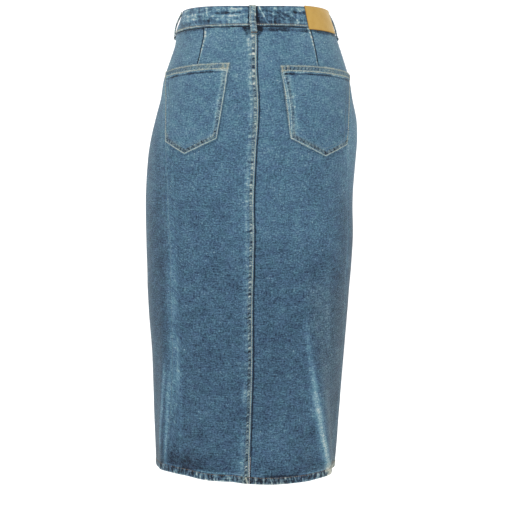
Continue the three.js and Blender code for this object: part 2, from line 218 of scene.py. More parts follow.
def wrap(degrees):
    return degrees - 360 * np.round(degrees / 360)


def lattice(x, y, columns, seed):
    """Value noise from -1 to 1: random numbers on a grid that repeats every `columns` across."""
    numbers = np.random.default_rng(seed).uniform(-1, 1, (256, columns))
    left, low = np.floor(x).astype(int), np.floor(y).astype(int)
    across, up = x - left, y - low
    across, up = across * across * (3 - 2 * across), up * up * (3 - 2 * up)

    def corner(dx, dy):
        return numbers[(low + dy) % 256, (left + dx) % columns]

    return mix(mix(corner(0, 0), corner(1, 0), across), mix(corner(0, 1), corner(1, 1), across), up)


def cloud(degrees, z, wide, tall, seed):
    """Two octaves of lattice noise on the cloth, with cells about wide x tall millimetres."""
    cells = max(int(round(880 / wide)), 3)
    x = (degrees % 360) / 360 * cells
    return (lattice(x, z / tall, cells, seed) + 0.5 * lattice(2 * x, 2 * z / tall, 2 * cells, seed + 1)) / 1.3


def fold_height(degrees, z):
    """Each fold is a cosine hump across, and grows down to its full rise."""
    rise = np.zeros(np.broadcast(degrees, z).shape)
    for top, foot, at, at_foot, wide, wide_foot, height in zip(*FOLDS.values()):
        down = np.clip((top - z) / (top - foot), 0, 1)
        across = np.abs(wrap(degrees - mix(at, at_foot, down))) / mix(wide, wide_foot, down)
        along = smooth(0, 0.9, down) if foot <= HEM_LEVEL else np.sin(np.pi * down) ** 2
        rise += height * along * np.cos(np.minimum(across, 1) * np.pi / 2) ** 2
    return rise


def bare(degrees, z):
    """The outer face: a superellipse in polar form at each height, raised by the folds."""
    degrees, z = np.broadcast_arrays(np.asarray(degrees, float), np.asarray(z, float))
    sine, cosine = np.sin(np.radians(degrees)), np.cos(np.radians(degrees))
    left, right = read(SECTIONS, "z", "left", z), read(SECTIONS, "z", "right", z)
    back, front = read(SECTIONS, "z", "back", z), read(SECTIONS, "z", "front", z)
    square = read(SECTIONS, "z", "square", z)
    depth = np.where(cosine > 0, back, front)
    power = (np.abs(sine) / ((left + right) / 2)) ** square + (np.abs(cosine) / depth) ** square
    radius = power ** (-1 / square) + fold_height(degrees, z)
    return np.stack([(right - left) / 2 + radius * sine, -radius * cosine, z], -1)


def normals(degrees, z):
    around = bare(degrees + 0.5, z) - bare(degrees - 0.5, z)
    down = bare(degrees, z - 2) - bare(degrees, z + 2)
    normal = np.cross(down, around)
    return normal / np.linalg.norm(normal, axis=-1, keepdims=True)


def skin(degrees, z, out=0.0):
    """A point of the outer face, moved out along its normal."""
    return bare(degrees, z) + normals(degrees, z) * np.asarray(out, float)[..., None]


def per_mm(degrees, z):
    """Degrees round the skirt for one millimetre across."""
    return 1 / np.linalg.norm(bare(degrees + 0.5, z) - bare(degrees - 0.5, z), axis=-1)


def angle_across(x, z):
    """The angle of a place on the back that lies x across at height z."""
    left, right = read(SECTIONS, "z", "left", z), read(SECTIONS, "z", "right", z)
    half, square = (left + right) / 2, read(SECTIONS, "z", "square", z)
    share = np.clip((x - (right - left) / 2) / half, -0.9995, 0.9995)
    depth = read(SECTIONS, "z", "back", z) * (1 - np.abs(share) ** square) ** (1 / square)
    return np.degrees(np.arctan2(share * half, depth))


def seam(name, z):
    return read(SEAMS, "z", name, z)


def hem_height(degrees):
    return read(HEM_LINE, "at", "z", wrap(degrees))


def band_edge(degrees, side, back, front):
    """Height of a long edge of the waistband, which dips at the middle of the back and front."""
    cosine = np.cos(np.radians(degrees))
    return side - back * np.maximum(cosine, 0) ** 1.4 - front * np.maximum(-cosine, 0) ** 1.4


def band_top(degrees):
    return band_edge(degrees, 3.0, 9.2, 11.0)


def band_foot(degrees):
    return band_edge(degrees, -36.0, 5.2, 7.5)


def arc_lengths(points, axis):
    """Distance along a grid's rows or columns from their first point."""
    steps = np.linalg.norm(np.diff(points, axis=axis), axis=-1)
    start = np.zeros_like(np.take(steps, [0], axis=axis))
    return np.concatenate([start, np.cumsum(steps, axis=axis)], axis=axis)


# Meshes

def finish_piece(obj, nodes=()):
    bpy.context.scene.collection.objects.link(obj)
    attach(obj, BODY)
    if nodes:
        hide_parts(*nodes)
    return obj


def mesh_object(name, points, faces, flat=None):
    """An object from points in millimetres and an array of quads or triangles."""
    mesh = bpy.data.meshes.new(name)
    sides = faces.shape[1]
    mesh.vertices.add(len(points))
    mesh.vertices.foreach_set("co", (points * MM).astype(np.float32).ravel())
    mesh.loops.add(faces.size)
    mesh.loops.foreach_set("vertex_index", faces.astype(np.int32).ravel())
    mesh.polygons.add(len(faces))
    mesh.polygons.foreach_set("loop_start", np.arange(0, faces.size, sides, dtype=np.int32))
    is_smooth = np.ones(len(faces), bool) if flat is None else ~flat
    mesh.polygons.foreach_set("use_smooth", is_smooth)
    mesh.update(calc_edges=True)
    return bpy.data.objects.new(name, mesh)


def grid_faces(rows, columns):
    """Quads of a closed sheet: outer face, inner face, then its four rims."""
    at = np.arange(2 * rows * columns).reshape(2, rows, columns)
    outer, inner = at

    def quads(a, b, c, d):
        return np.stack([a.ravel(), b.ravel(), c.ravel(), d.ravel()], 1)

    out = quads(outer[:-1, :-1], outer[1:, :-1], outer[1:, 1:], outer[:-1, 1:])
    back = quads(inner[:-1, :-1], inner[:-1, 1:], inner[1:, 1:], inner[1:, :-1])
    rims = np.concatenate([
        quads(outer[0, :-1], outer[0, 1:], inner[0, 1:], inner[0, :-1]),
        quads(outer[-1, 1:], outer[-1, :-1], inner[-1, :-1], inner[-1, 1:]),
        quads(outer[1:, 0], outer[:-1, 0], inner[:-1, 0], inner[1:, 0]),
        quads(outer[:-1, -1], outer[1:, -1], inner[1:, -1], inner[:-1, -1]),
    ])
    return out, back, rims


def sheet_object(name, outer, inner, materials, shades):
    """A closed cloth sheet from two grids of points, with its own UV map in metres along the
    cloth and a point attribute for each named shade. The inner face takes the last material."""
    rows, columns = outer.shape[:2]
    out, back, rims = grid_faces(rows, columns)
    faces = np.concatenate([out, back, rims])
    flat = np.zeros(len(faces), bool)
    flat[len(out) + len(back):] = True
    obj = mesh_object(name, np.concatenate([outer.reshape(-1, 3), inner.reshape(-1, 3)]), faces, flat)
    mesh = obj.data
    across, down = arc_lengths(outer, 1), arc_lengths(outer, 0)
    middle = across[:, columns // 2, None]
    flat_place = np.stack([across - middle, -down], -1).reshape(-1, 2) * MM
    uv = mesh.uv_layers.new(name="cloth")
    uv.data.foreach_set("uv", np.tile(flat_place, (2, 1))[faces.ravel()].astype(np.float32).ravel())
    for key, values in shades.items():
        layer = mesh.attributes.new(key, "FLOAT", "POINT")
        values = np.broadcast_to(values, (rows, columns)).ravel()
        layer.data.foreach_set("value", np.tile(values, 2).astype(np.float32))
    for material in materials:
        mesh.materials.append(material)
    slots = np.zeros(len(faces), np.int32)
    slots[len(out):len(out) + len(back)] = len(materials) - 1
    mesh.polygons.foreach_set("material_index", slots)
    return obj


# Materials

STUDIO_LIGHT = 1.9


def new_material(name, roughness, metallic=0.0, sheen=0.0, specular=0.5):
    material = bpy.data.materials.new(name)
    material.use_nodes = True
    shader = material.node_tree.nodes["Principled BSDF"]
    shader.inputs["Roughness"].default_value = roughness
    shader.inputs["Metallic"].default_value = metallic
    shader.inputs["Specular IOR Level"].default_value = specular
    shader.inputs["Sheen Weight"].default_value = sheen
    shader.inputs["Sheen Roughness"].default_value = 0.45
    shader.inputs["Sheen Tint"].default_value = (0.82, 0.98, 1.0, 1.0)
    return material, shader


def colour(text):
    """Scene-linear colour from a hex sRGB value as it looks under the studio light."""
    parts = np.array([int(text[i:i + 2], 16) for i in (0, 2, 4)]) / 255
    linear = np.where(parts <= 0.04045, parts / 12.92, ((parts + 0.055) / 1.055) ** 2.4) / STUDIO_LIGHT
    return (*linear.tolist(), 1.0)


class Nodes:
    """Short calls for a material's node tree."""

    def __init__(self, material):
        self.tree = material.node_tree

    def new(self, kind, **settings):
        node = self.tree.nodes.new(kind)
        for key, value in settings.items():
            setattr(node, key, value)
        return node

    def link(self, start, end):
        self.tree.links.new(start, end)

    def maths(self, operation, first, second):
        node = self.new("ShaderNodeMath", operation=operation)
        for socket, value in zip(node.inputs, (first, second)):
            if hasattr(value, "is_output"):
                self.link(value, socket)
            else:
                socket.default_value = value
        return node.outputs[0]

    def total(self, *terms):
        """The sum of (socket, weight) pairs and plain numbers."""
        result = 0.0
        for term in terms:
            value = self.maths("MULTIPLY", *term) if isinstance(term, tuple) else term
            result = self.maths("ADD", value, result)
        return result

    def attribute(self, name):
        return self.new("ShaderNodeAttribute", attribute_name=name).outputs["Fac"]

    def place(self, scale, turn=0.0):
        """The cloth's own UV in metres, turned and then scaled to cells per metre."""
        uv = self.new("ShaderNodeUVMap", uv_map="cloth").outputs[0]
        mapping = self.new("ShaderNodeMapping")
        mapping.inputs["Scale"].default_value = scale
        mapping.inputs["Rotation"].default_value = (0, 0, np.radians(turn))
        self.link(uv, mapping.inputs["Vector"])
        return mapping.outputs[0]

    def noise(self, vector, scale=1.0, detail=2.0, rough=0.55):
        """Noise about 0, from about -0.5 to 0.5."""
        node = self.new("ShaderNodeTexNoise")
        node.inputs["Scale"].default_value = scale
        node.inputs["Detail"].default_value = detail
        node.inputs["Roughness"].default_value = rough
        self.link(vector, node.inputs["Vector"])
        return self.maths("SUBTRACT", node.outputs["Fac"], 0.5)

    def wave(self, vector, scale):
        node = self.new("ShaderNodeTexWave", wave_type="BANDS", bands_direction="X")
        node.inputs["Scale"].default_value = scale
        self.link(vector, node.inputs["Vector"])
        return self.maths("SUBTRACT", node.outputs["Fac"], 0.5)

    def ramp(self, value, stops):
        node = self.new("ShaderNodeValToRGB")
        elements = node.color_ramp.elements
        while len(elements) < len(stops):
            elements.new(0.5)
        for element, (position, shade) in zip(elements, stops):
            element.position = position
            element.color = colour(shade)
        self.link(value, node.inputs["Fac"])
        return node.outputs["Color"]

    def bump(self, height, distance, strength=1.0):
        node = self.new("ShaderNodeBump")
        node.inputs["Distance"].default_value = distance
        node.inputs["Strength"].default_value = strength
        self.link(height, node.inputs["Height"])
        return node.outputs["Normal"]


INDIGO = [(0.0, "0c1626"), (0.15, "22364d"), (0.3, "3a5871"), (0.5, "567d99"), (0.65, "6f9bb0"),
          (0.8, "98bac4"), (0.92, "c0d2d3"), (1.0, "e0e7e3")]
DUSTY = [(0.0, "191c21"), (0.15, "333d43"), (0.3, "515f66"), (0.5, "7a8985"), (0.65, "9da495"),
         (0.8, "bfbea8"), (1.0, "e2dfcd")]
REVERSE = [(0.0, "5d7183"), (0.5, "8697a4"), (1.0, "c3cbd0")]


def denim_material(name, ramp, dusty, base, span, streak=0.0, crackle=0.0, mottle=1.0):
    """Washed twill. One shade runs along two ramps, indigo and a dusty grey that shows where
    thread and bare weft colour the cloth, and where a painted haze greys the side turned to the
    light. The shade sums painted light from above that makes the cloth lighter towards the band
    (tone), rubbed pale places together with painted highlight and painted shade, below 0 also
    unfaded blue, uneven slub yarns across, heathered flecks, patches, fine nicks down a seam
    (ladder) or along a hem (rungs), crackle lines of a stiff band, and the fine diagonal of the
    twill, which also makes the bump. Patches of the dye lean to green or violet."""
    material, shader = new_material(name, 0.88, sheen=0.2, specular=0.2)
    n = Nodes(material)
    fleck = n.noise(n.place((300, 430, 1)), detail=3, rough=0.7)
    slub = n.noise(n.place((70, 520, 1)), detail=2)
    warp = n.noise(n.place((560, 100, 1)), detail=2)
    sparks = n.maths("MAXIMUM", n.total((n.noise(n.place((400, 470, 1)), detail=1), 1.0), -0.13), 0.0)
    patches = n.noise(n.place((24, 30, 1)), detail=4, rough=0.65)
    clouds = n.noise(n.place((95, 120, 1)), detail=3, rough=0.65)
    dye = n.noise(n.place((50, 64, 1)), detail=3, rough=0.6)
    flares = n.noise(n.place((30, 170, 1)), detail=4, rough=0.7)
    pleats = n.noise(n.place((190, 34, 1), turn=8), detail=3, rough=0.6)
    ladder = n.noise(n.place((60, 210, 1)), detail=2, rough=0.6)
    rungs = n.noise(n.place((235, 70, 1), turn=24), detail=2, rough=0.6)
    lines = n.noise(n.place((44, 85, 1)), detail=2)
    lines = n.maths("MAXIMUM", n.maths("SUBTRACT", 0.035, n.maths("ABSOLUTE", lines, 0.0)), 0.0)
    twill = n.wave(n.place((1, 1, 1), turn=62), 340)
    nicks = n.total((ladder, n.attribute("ladder")), (rungs, n.attribute("rungs")))
    shade = n.total(
        (n.attribute("tone"), span), (n.attribute("worn"), 0.55), (fleck, 1.15 * mottle),
        (sparks, 2.0 * mottle), (slub, 0.36 * mottle), (warp, 0.36 * mottle), (patches, 0.28 * mottle),
        (clouds, 0.2 * mottle), (flares, streak), (pleats, streak), (lines, crackle), (nicks, 1.0),
        (twill, 0.06), base)
    dust_and_painted_light = n.total((n.attribute("dust_and_painted_light"), 1.0), (patches, 0.35), (clouds, 0.3), (fleck, 0.3), -0.02)
    blend = n.new("ShaderNodeMix", data_type="RGBA")
    n.link(n.maths("MAXIMUM", dust_and_painted_light, 0.0), blend.inputs[0])
    n.link(n.ramp(shade, ramp), blend.inputs[6])
    n.link(n.ramp(shade, dusty), blend.inputs[7])
    tint = n.new("ShaderNodeHueSaturation")
    n.link(n.total((dye, -0.06), 0.5), tint.inputs["Hue"])
    n.link(blend.outputs[2], tint.inputs["Color"])
    n.link(tint.outputs[0], shader.inputs["Base Color"])
    relief = n.total((twill, 0.5), (fleck, 0.9), (slub, 0.5), (warp, 0.4), (nicks, 0.8))
    n.link(n.bump(relief, 0.00035), shader.inputs["Normal"])
    return material


def thread_material(name, stops):
    """Twisted polyester thread with uneven dye from stitch to stitch."""
    material, shader = new_material(name, 0.6, sheen=0.1, specular=0.35)
    n = Nodes(material)
    place = n.new("ShaderNodeTexCoord").outputs["Object"]
    n.link(n.ramp(n.total((n.noise(place, 120, 3), 1.2), 0.5), stops), shader.inputs["Base Color"])
    n.link(n.bump(n.noise(place, 2600, 2), 0.0001), shader.inputs["Normal"])
    return material


def leather_material():
    """Tan split leather: pores, a faint grain, darker at the rubbed rim, lighter where painted light is laid on."""
    material, shader = new_material("tan_leather", 0.5, specular=0.4)
    n = Nodes(material)
    place = n.place((1, 1, 1))
    shade = n.total(
        (n.noise(place, 70, 3), 0.35), (n.noise(place, 900, 3), 0.3), (n.attribute("worn"), 0.6), 0.5)
    stops = [(0.0, "8f6024"), (0.3, "c0903a"), (0.5, "d6ab4e"), (0.75, "dfb966"), (1.0, "ecd19a")]
    n.link(n.ramp(shade, stops), shader.inputs["Base Color"])
    grain = n.total((n.noise(place, 1300, 4), 1.0), (n.noise(place, 240, 3), 0.8))
    n.link(n.bump(grain, 0.00025), shader.inputs["Normal"])
    return material


def metal_material(name, dark, light):
    """Worn brass: dull patches and fine scratches."""
    material, shader = new_material(name, 0.36, metallic=1.0)
    n = Nodes(material)
    place = n.new("ShaderNodeTexCoord").outputs["Object"]
    cloudy = n.total((n.noise(place, 380, 4), 1.3), 0.5)
    n.link(n.ramp(cloudy, [(0.0, dark), (0.55, light), (1.0, light)]), shader.inputs["Base Color"])
    n.link(n.maths("ADD", n.maths("MULTIPLY", cloudy, 0.25), 0.25), shader.inputs["Roughness"])
    n.link(n.bump(n.noise(place, 1500, 3), 0.00008), shader.inputs["Normal"])
    return material


DENIM = denim_material("washed_denim", INDIGO, DUSTY, 0.335, 0.185)
BAND_DENIM = denim_material("band_denim", INDIGO, DUSTY, 0.37, 0.1, streak=0.9, crackle=8.0, mottle=0.5)
DENIM_BACK = denim_material("denim_reverse", REVERSE, REVERSE, 0.45, 0.1)
CREAM = thread_material("cream_thread", [(0.0, "aca887"), (0.4, "d2ceb0"), (0.7, "e6e2ca"), (1.0, "f4f2e2")])
TAN = thread_material("tan_thread", [(0.0, "5e4636"), (0.4, "80644c"), (0.7, "9f8468"), (1.0, "b8a180")])
FADED = thread_material("faded_thread", [(0.0, "4d6478"), (0.5, "70838f"), (1.0, "98a29f")])
LEATHER = leather_material()
BRASS = metal_material("antique_brass", "5a432a", "a98655")
NAVY = [(0.0, "141d2b"), (0.5, "25344a"), (1.0, "3d4e66")]
TAPE = denim_material("zip_tape", NAVY, NAVY, 0.4, 0.0)


# Sewing: every stitch is a short rounded bar that dips into the cloth at both ends

def stitch_shape():
    """A bar along x of unit half length and radius: five rings of six points, closed ends."""
    rings, sides = 5, 6
    along = np.linspace(-1, 1, rings)
    swell = np.array([0.45, 0.9, 1.0, 0.9, 0.45])
    turn = np.arange(sides) * 2 * np.pi / sides
    lift = 0.45 - 1.5 * along ** 2
    points = np.stack([
        np.repeat(along, sides),
        np.outer(swell, np.cos(turn)).ravel(),
        (np.outer(swell, np.sin(turn)) + lift[:, None]).ravel(),
    ], -1)
    at = np.arange(rings * sides).reshape(rings, sides)
    following = np.roll(at, -1, axis=1)
    walls = np.stack([at[:-1].ravel(), at[1:].ravel(), following[1:].ravel(), following[:-1].ravel()], 1)
    ends = [[0, 1, 2, 3], [0, 3, 4, 5], list(at[-1][[3, 2, 1, 0]]), list(at[-1][[5, 4, 3, 0]])]
    return points, np.concatenate([walls, np.array(ends)])


BAR_POINTS, BAR_FACES = stitch_shape()


class Sewing:
    """Gathers rows of stitches into one mesh for each thread."""

    def __init__(self):
        self.points, self.faces, self.count = [], [], 0

    def bars(self, middle, along, up, long, radius):
        """Places one bar at each middle point, turned along its row and up from the cloth."""
        side = np.cross(up, along)
        axes = np.stack([along * long / 2, side * radius, up * radius], 1)
        points = middle[:, None] + np.einsum("pk,skj->spj", BAR_POINTS, axes)
        start = self.count + np.arange(len(middle)) * len(BAR_POINTS)
        self.points.append(points.reshape(-1, 3))
        self.faces.append((BAR_FACES[None] + start[:, None, None]).reshape(-1, 4))
        self.count += len(middle) * len(BAR_POINTS)

    def row(self, degrees, z, out, long=STITCH["long"], gap=STITCH["gap"], radius=STITCH["radius"]):
        """A row of stitches along a path on the cloth, spaced by length along it."""
        degrees, z, out = np.broadcast_arrays(*(np.asarray(v, float) for v in (degrees, z, out)))
        path = skin(degrees, z, out)
        length = np.concatenate([[0], np.cumsum(np.linalg.norm(np.diff(path, axis=0), axis=1))])
        count = max(int(length[-1] / (long + gap)), 1)
        middle = (np.arange(count) + 0.5) / count * length[-1]

        def at(values, places):
            return np.interp(places, length, values)

        def point(places):
            return skin(at(degrees, places), at(z, places), at(out, places))

        along = point(middle + 0.6) - point(middle - 0.6)
        along /= np.linalg.norm(along, axis=1, keepdims=True)
        up = normals(at(degrees, middle), at(z, middle))
        up -= along * (up * along).sum(1, keepdims=True)
        up /= np.linalg.norm(up, axis=1, keepdims=True)
        self.bars(point(middle), along, up, length[-1] / count - gap, radius)

    def make(self, name, material):
        obj = mesh_object(name, np.concatenate(self.points), np.concatenate(self.faces))
        obj.data.materials.append(material)
        return finish_piece(obj)


cream, tan, faded = Sewing(), Sewing(), Sewing()


# Panels

NEAR_LAP = np.array([0.15, 0.9, 1.6, 2.3, 3.1, 4.2, 5.5, 6.8, 8.0, 9.2, 10.2, 10.9, 11.6, 12.6, 14.0])
NEAR_SEAM = np.array([0.15, 0.8, 1.6, 2.6, 4.0, 6.0, 8.5])
NEAR_STREAKS = np.append(NEAR_SEAM, [10.5, 12.5, 14.5, 16.5, 18.5, 20.5, 22.5, 24.5, 27, 30])
BELOW_BAND = np.array([0, 0.7, 1.5, 2.6, 4.0, 6.0, 8.0])
ABOVE_HEM = np.array([15, 14, 13.2, 12.5, 11.8, 11.2, 10.5, 9.6, 8.4, 7, 5.5, 4, 2.6, 1.4, 0.6, 0])
NEAR_DART = np.array([-4.6, -3.2, -2.2, -1.4, -0.8, -0.3, 0.2, 0.7, 1.2, 1.8, 2.6, 3.6, 4.8, 6.0])
FINE_ROWS, PLAIN_ROWS = 330, 170
# How dark the line beside a felled seam's edge is: painted shade of the lap, together with unfaded indigo
SHADE_AND_UNFADED_LINE = -1.0


def panel_grid(start, end, near_start, near_end, fills, rows, dart=None):
    """Angles and heights of a panel's grid. Columns keep their distance from the seams at its
    sides and from its dart, (angle, direction towards the middle), and are even between; rows
    follow the waistband at the top and the hem at the foot."""

    def columns(z):
        groups = [start(z)[:, None] + near_start * per_mm(start(z), z)[:, None]]
        if dart:
            groups.append(dart[0] + np.sort(NEAR_DART * dart[1]) * per_mm(dart[0] + 0 * z, z)[:, None])
        groups.append(end(z)[:, None] - near_end[::-1] * per_mm(end(z), z)[:, None])
        parts = groups[:1]
        for group, count in zip(groups[1:], fills):
            parts += [mix(parts[-1][:, -1:], group[:, :1], np.linspace(0, 1, count + 2)[1:-1]), group]
        return np.concatenate(parts, 1)

    top = band_foot(columns(np.array([BAND_LEVEL]))[0]) - LAY_GAP
    foot = hem_height(columns(np.array([HEM_LEVEL]))[0])
    body = np.linspace(0, 1, rows)[1:-1, None]
    z = np.concatenate([
        top - BELOW_BAND[:, None],
        mix(top - BELOW_BAND[-1], foot + ABOVE_HEM[0], body),
        foot + ABOVE_HEM[:, None],
    ])
    degrees = np.stack([columns(z[:, column])[:, column] for column in range(z.shape[1])], 1)
    return degrees, z, top - z, z - foot


def roping(along, across, period, slant, seed):
    """Puckers of a washed seam: slanting ridges of uneven height, from -1 to 1."""
    uneven = lattice(along / 23, across / 40 + seed, 64, seed)
    phase = along / period + across * slant + 0.35 * lattice(along / 31, across * 0, 64, seed + 5)
    return np.sin(2 * np.pi * phase) * (0.65 + 0.45 * uneven)


def notches(along, across, period, slant, seed):
    """Dark nicks of a washed seam, 0 to 1: bars a period apart that lean with the slant, wander
    a little, and differ in strength."""
    phase = along / period + across * slant + 0.3 * lattice(along / 31, across * 0, 64, seed + 5)
    phase = phase + 0.1 * lattice(along / 4, across / 2.5, 64, seed + 6)
    strength = 0.6 + 0.45 * lattice(along / 12, across / 40, 64, seed + 7)
    return smooth(0.2, 1.0, np.sin(2 * np.pi * phase)) * strength


def hem_relief(degrees, above):
    """The turned hem: a groove at its stitch row, a soft swell, slanting puckers, a rubbed lip,
    a painted shadow line along its upper edge, and painted shade on the cloth above it at the left."""
    arc = degrees * 2.4
    inside = smooth(12.5, 10.5, above)
    twist = roping(arc, above, 9.5, 0.05, 31) * inside * smooth(0, 3, above)
    out = 0.45 * smooth(13, 8.5, above) - 0.55 * hump(above - HEM["row"], 1.1) + 0.35 * twist
    out -= 0.35 * smooth(1.6, 0, above)
    worn = inside * (0.12 * twist - 0.1) + 0.5 * smooth(3.0, 1.2, above)
    flares = smooth(-0.5, 0.3, lattice(arc / 26, above * 0, 97, 39))
    # Rubbed pale flares at the hem's upper edge, and a painted shadow line at that edge where it is not rubbed
    worn += 0.45 * flares * hump(above - 13.4, 1.2) - 0.5 * (1 - flares) * hump(above - 13.0, 1.5)
    # Painted shade on the cloth above the hem, strongest at the left
    shade = 0.36 * hump(wrap(degrees) + 44, 17) + 0.1
    worn -= shade * smooth(52, 18, above) * (1 - inside) * (0.75 + 0.25 * lattice(arc / 9, above / 8, 97, 43))
    corner = smooth(50, 60, wrap(degrees)) * smooth(30, 10, above)
    stretches = smooth(0.2, 0.7, np.abs(lattice(arc / 60, above * 0, 97, 47)))
    dust_and_painted_light = inside * (0.2 + 0.4 * stretches) + 0.5 * corner
    return {"out": out, "worn": worn + 0.3 * corner, "dust_and_painted_light": dust_and_painted_light, "rungs": 2.4 * inside}


def felled_relief(distance, z, seed):
    """The double strip of a felled seam: its pale stitched edge, nicks and ridges between the
    two stitch rows, and a pale rubbed band along its outer side."""
    nick = notches(z, distance, 9.6, 0.025, seed)
    twist = roping(z, distance, 9.6, 0.025, seed)
    strip = smooth(11.9, 10.5, distance)
    core = smooth(2.8, 3.8, distance) * smooth(9.5, 6.5, distance)
    beside = smooth(27, 11, distance) * (1 - strip)
    out = LAP["rise"] * strip - 0.3 * hump(distance - LAP["row"], 0.9) - 0.6 * nick * core + 0.2 * core
    out -= 0.28 * twist * beside + 0.25 * smooth(0.8, 0.1, distance)
    pale = np.zeros_like(distance)
    for height, tall, strength in zip(*RUBBED.values()):
        pale = np.maximum(pale, strength * hump(z - height, tall))
    patchy = 0.65 + 0.35 * lattice(z / 5, distance / 3, 97, seed + 3)
    worn = core * (0.1 * patchy - 0.32 * nick + 0.22 * pale) + 0.55 * hump(distance - 2.0, 0.9)
    worn += (0.22 + 0.5 * pale) * hump(distance - 12.5, 4.2) * patchy - 0.15 * twist * beside
    dust_and_painted_light = 0.4 * core + 0.2 * hump(distance - 2.0, 0.9) + 0.12 * hump(distance - 12, 3)
    return {"out": out, "worn": worn, "dust_and_painted_light": dust_and_painted_light, "ladder": 2.6 * core + 0.9 * hump(distance - 11, 4)}


def under_lap_relief(distance, z):
    """The cloth that goes under a felled seam: a dark line at the edge, painted shade of the lap together with
    unfaded indigo, then puckers.
    """
    twist = roping(z, distance, 9.6, -0.05, 17)
    beside = smooth(18, 1, distance)
    worn = SHADE_AND_UNFADED_LINE * hump(distance - 0.4, 1.2) + 0.08 * twist * beside
    return {"out": 0.25 * twist * beside, "worn": worn}


def side_seam_relief(distance, z, pale, wide, seed):
    """A pressed-open side seam: hardly a valley between low ridges, rubbed pale close by, and a
    broad band beside it that is rubbed in long streaks."""
    twist = roping(z, distance, 11, 0.03, seed)
    ridge = hump(distance - 4.5, 4)
    out = -0.15 * hump(distance, 0.8) + 0.3 * ridge + 0.16 * twist * ridge
    streaks = 0.55 + 0.45 * lattice(z / 42, distance / 2.4, 91, seed)
    uneven = 0.7 + 0.3 * lattice(z / 60, distance * 0, 91, seed + 1)
    worn = 0.34 * hump(distance, 3.2) + 0.3 * streaks * hump(distance - 0.6 * wide, 0.42 * wide)
    worn = pale * uneven * worn
    return {"out": out, "worn": worn, "ladder": 0.4 * smooth(wide, 0, distance)}


def dart_relief(degrees, z, at, inwards):
    """A dart: a sharp dark valley with a pale ridge on the side towards the middle of the back,
    widest at the band."""
    reach = smooth(DARTS["foot"], DARTS["foot"] + DARTS["run_out"], z)
    distance = (degrees - at) / per_mm(degrees, z) * inwards
    down = np.clip((z + 42) / (DARTS["foot"] + 42), 0, 1)
    wide = mix(6.4, 2.8, smooth(0, 0.75, down))
    twist = roping(z, distance, 7, 0.04, 41)
    ridge = smooth(0.3, 1.3, distance) * smooth(wide, 0.7 * wide, distance)
    out = (-1.0 * hump(distance, 1.1) + (0.45 + 0.2 * twist) * ridge) * reach
    worn = (-1.0 * hump(distance + 0.4, 1.0) + (0.5 + 0.18 * twist) * ridge) * reach
    return {"out": out, "worn": worn, "dust_and_painted_light": 0.2 * ridge * reach, "ladder": 1.2 * ridge * reach}


def under_band_relief(degrees, below):
    """Just below the waistband: a dark line in its shade, a rubbed lip, then a dark band that is
    partly painted shade of the waistband and partly unfaded blue cloth under its edge; darkest
    beside the foot of the middle loop, where painted shade of the loop adds to cloth it protected
    from fading."""
    around = wrap(degrees)
    x = degrees * 2.1
    lip = smooth(-0.35, 0.35, lattice(x / 19, below * 0, 128, 65)) * smooth(-47, -44, around)
    # Patchy strength of the dark band: painted shade of the waistband together with unfaded cloth
    unfaded_and_shaded = 0.65 + 0.35 * lattice(x / 13, below / 9, 128, 67)
    right = smooth(0, 4, around)
    edge = mix(4.6, 7.8, right) + 1.2 * lattice(x / 7, below * 0, 128, 68)
    worn = -0.95 * hump(below - 0.7, 1.6) + 0.5 * lip * hump(below - 2.9, 1.1)
    worn = worn - mix(0.45, 0.85, right) * unfaded_and_shaded * smooth(2.2, 4.0, below) * smooth(edge + 1.4, edge, below)
    # At the foot of the middle loop: painted shade of the loop together with cloth it protected from fading
    beside = np.hypot((around + 3.4) / 10.2, below / 21)
    unfaded_and_shaded_at_loop = smooth(1.02, 0.8, beside + 0.08 * lattice(x / 5, below / 5, 128, 69))
    unfaded_and_shaded_at_loop = unfaded_and_shaded_at_loop * smooth(2.0, 4.5, np.abs(around + 2.6))
    return {"out": -0.3 * hump(below, 2.0), "worn": worn - 0.75 * unfaded_and_shaded_at_loop}


# Crests of the drape that are pale, partly from rubbed wear and partly as painted highlight where
# the folds catch the light: heights and angles of both ends, half width in mm, and how pale
RIDGES = table(
    "top foot at at_foot wide wide_foot worn worn_foot",
    (-490, -800, 41.1, 61.5, 3.2, 9.0, 0.3, 1.15), (-340, -630, -55.8, -54.0, 8.5, 9.5, 0.34, 0.34),
    (-575, -730, -60.0, -64.0, 4.0, 4.5, 0.75, 0.7), (-605, -760, -57.0, -58.6, 3.6, 3.6, 0.65, 0.6),
    (-545, -630, -52.4, -51.0, 3.4, 3.4, 0.4, 0.4), (-610, -740, -49.6, -48.6, 4.0, 4.0, 0.22, 0.18),
    (-440, -560, 57.5, 59.5, 5.0, 5.0, 0.22, 0.22),
)


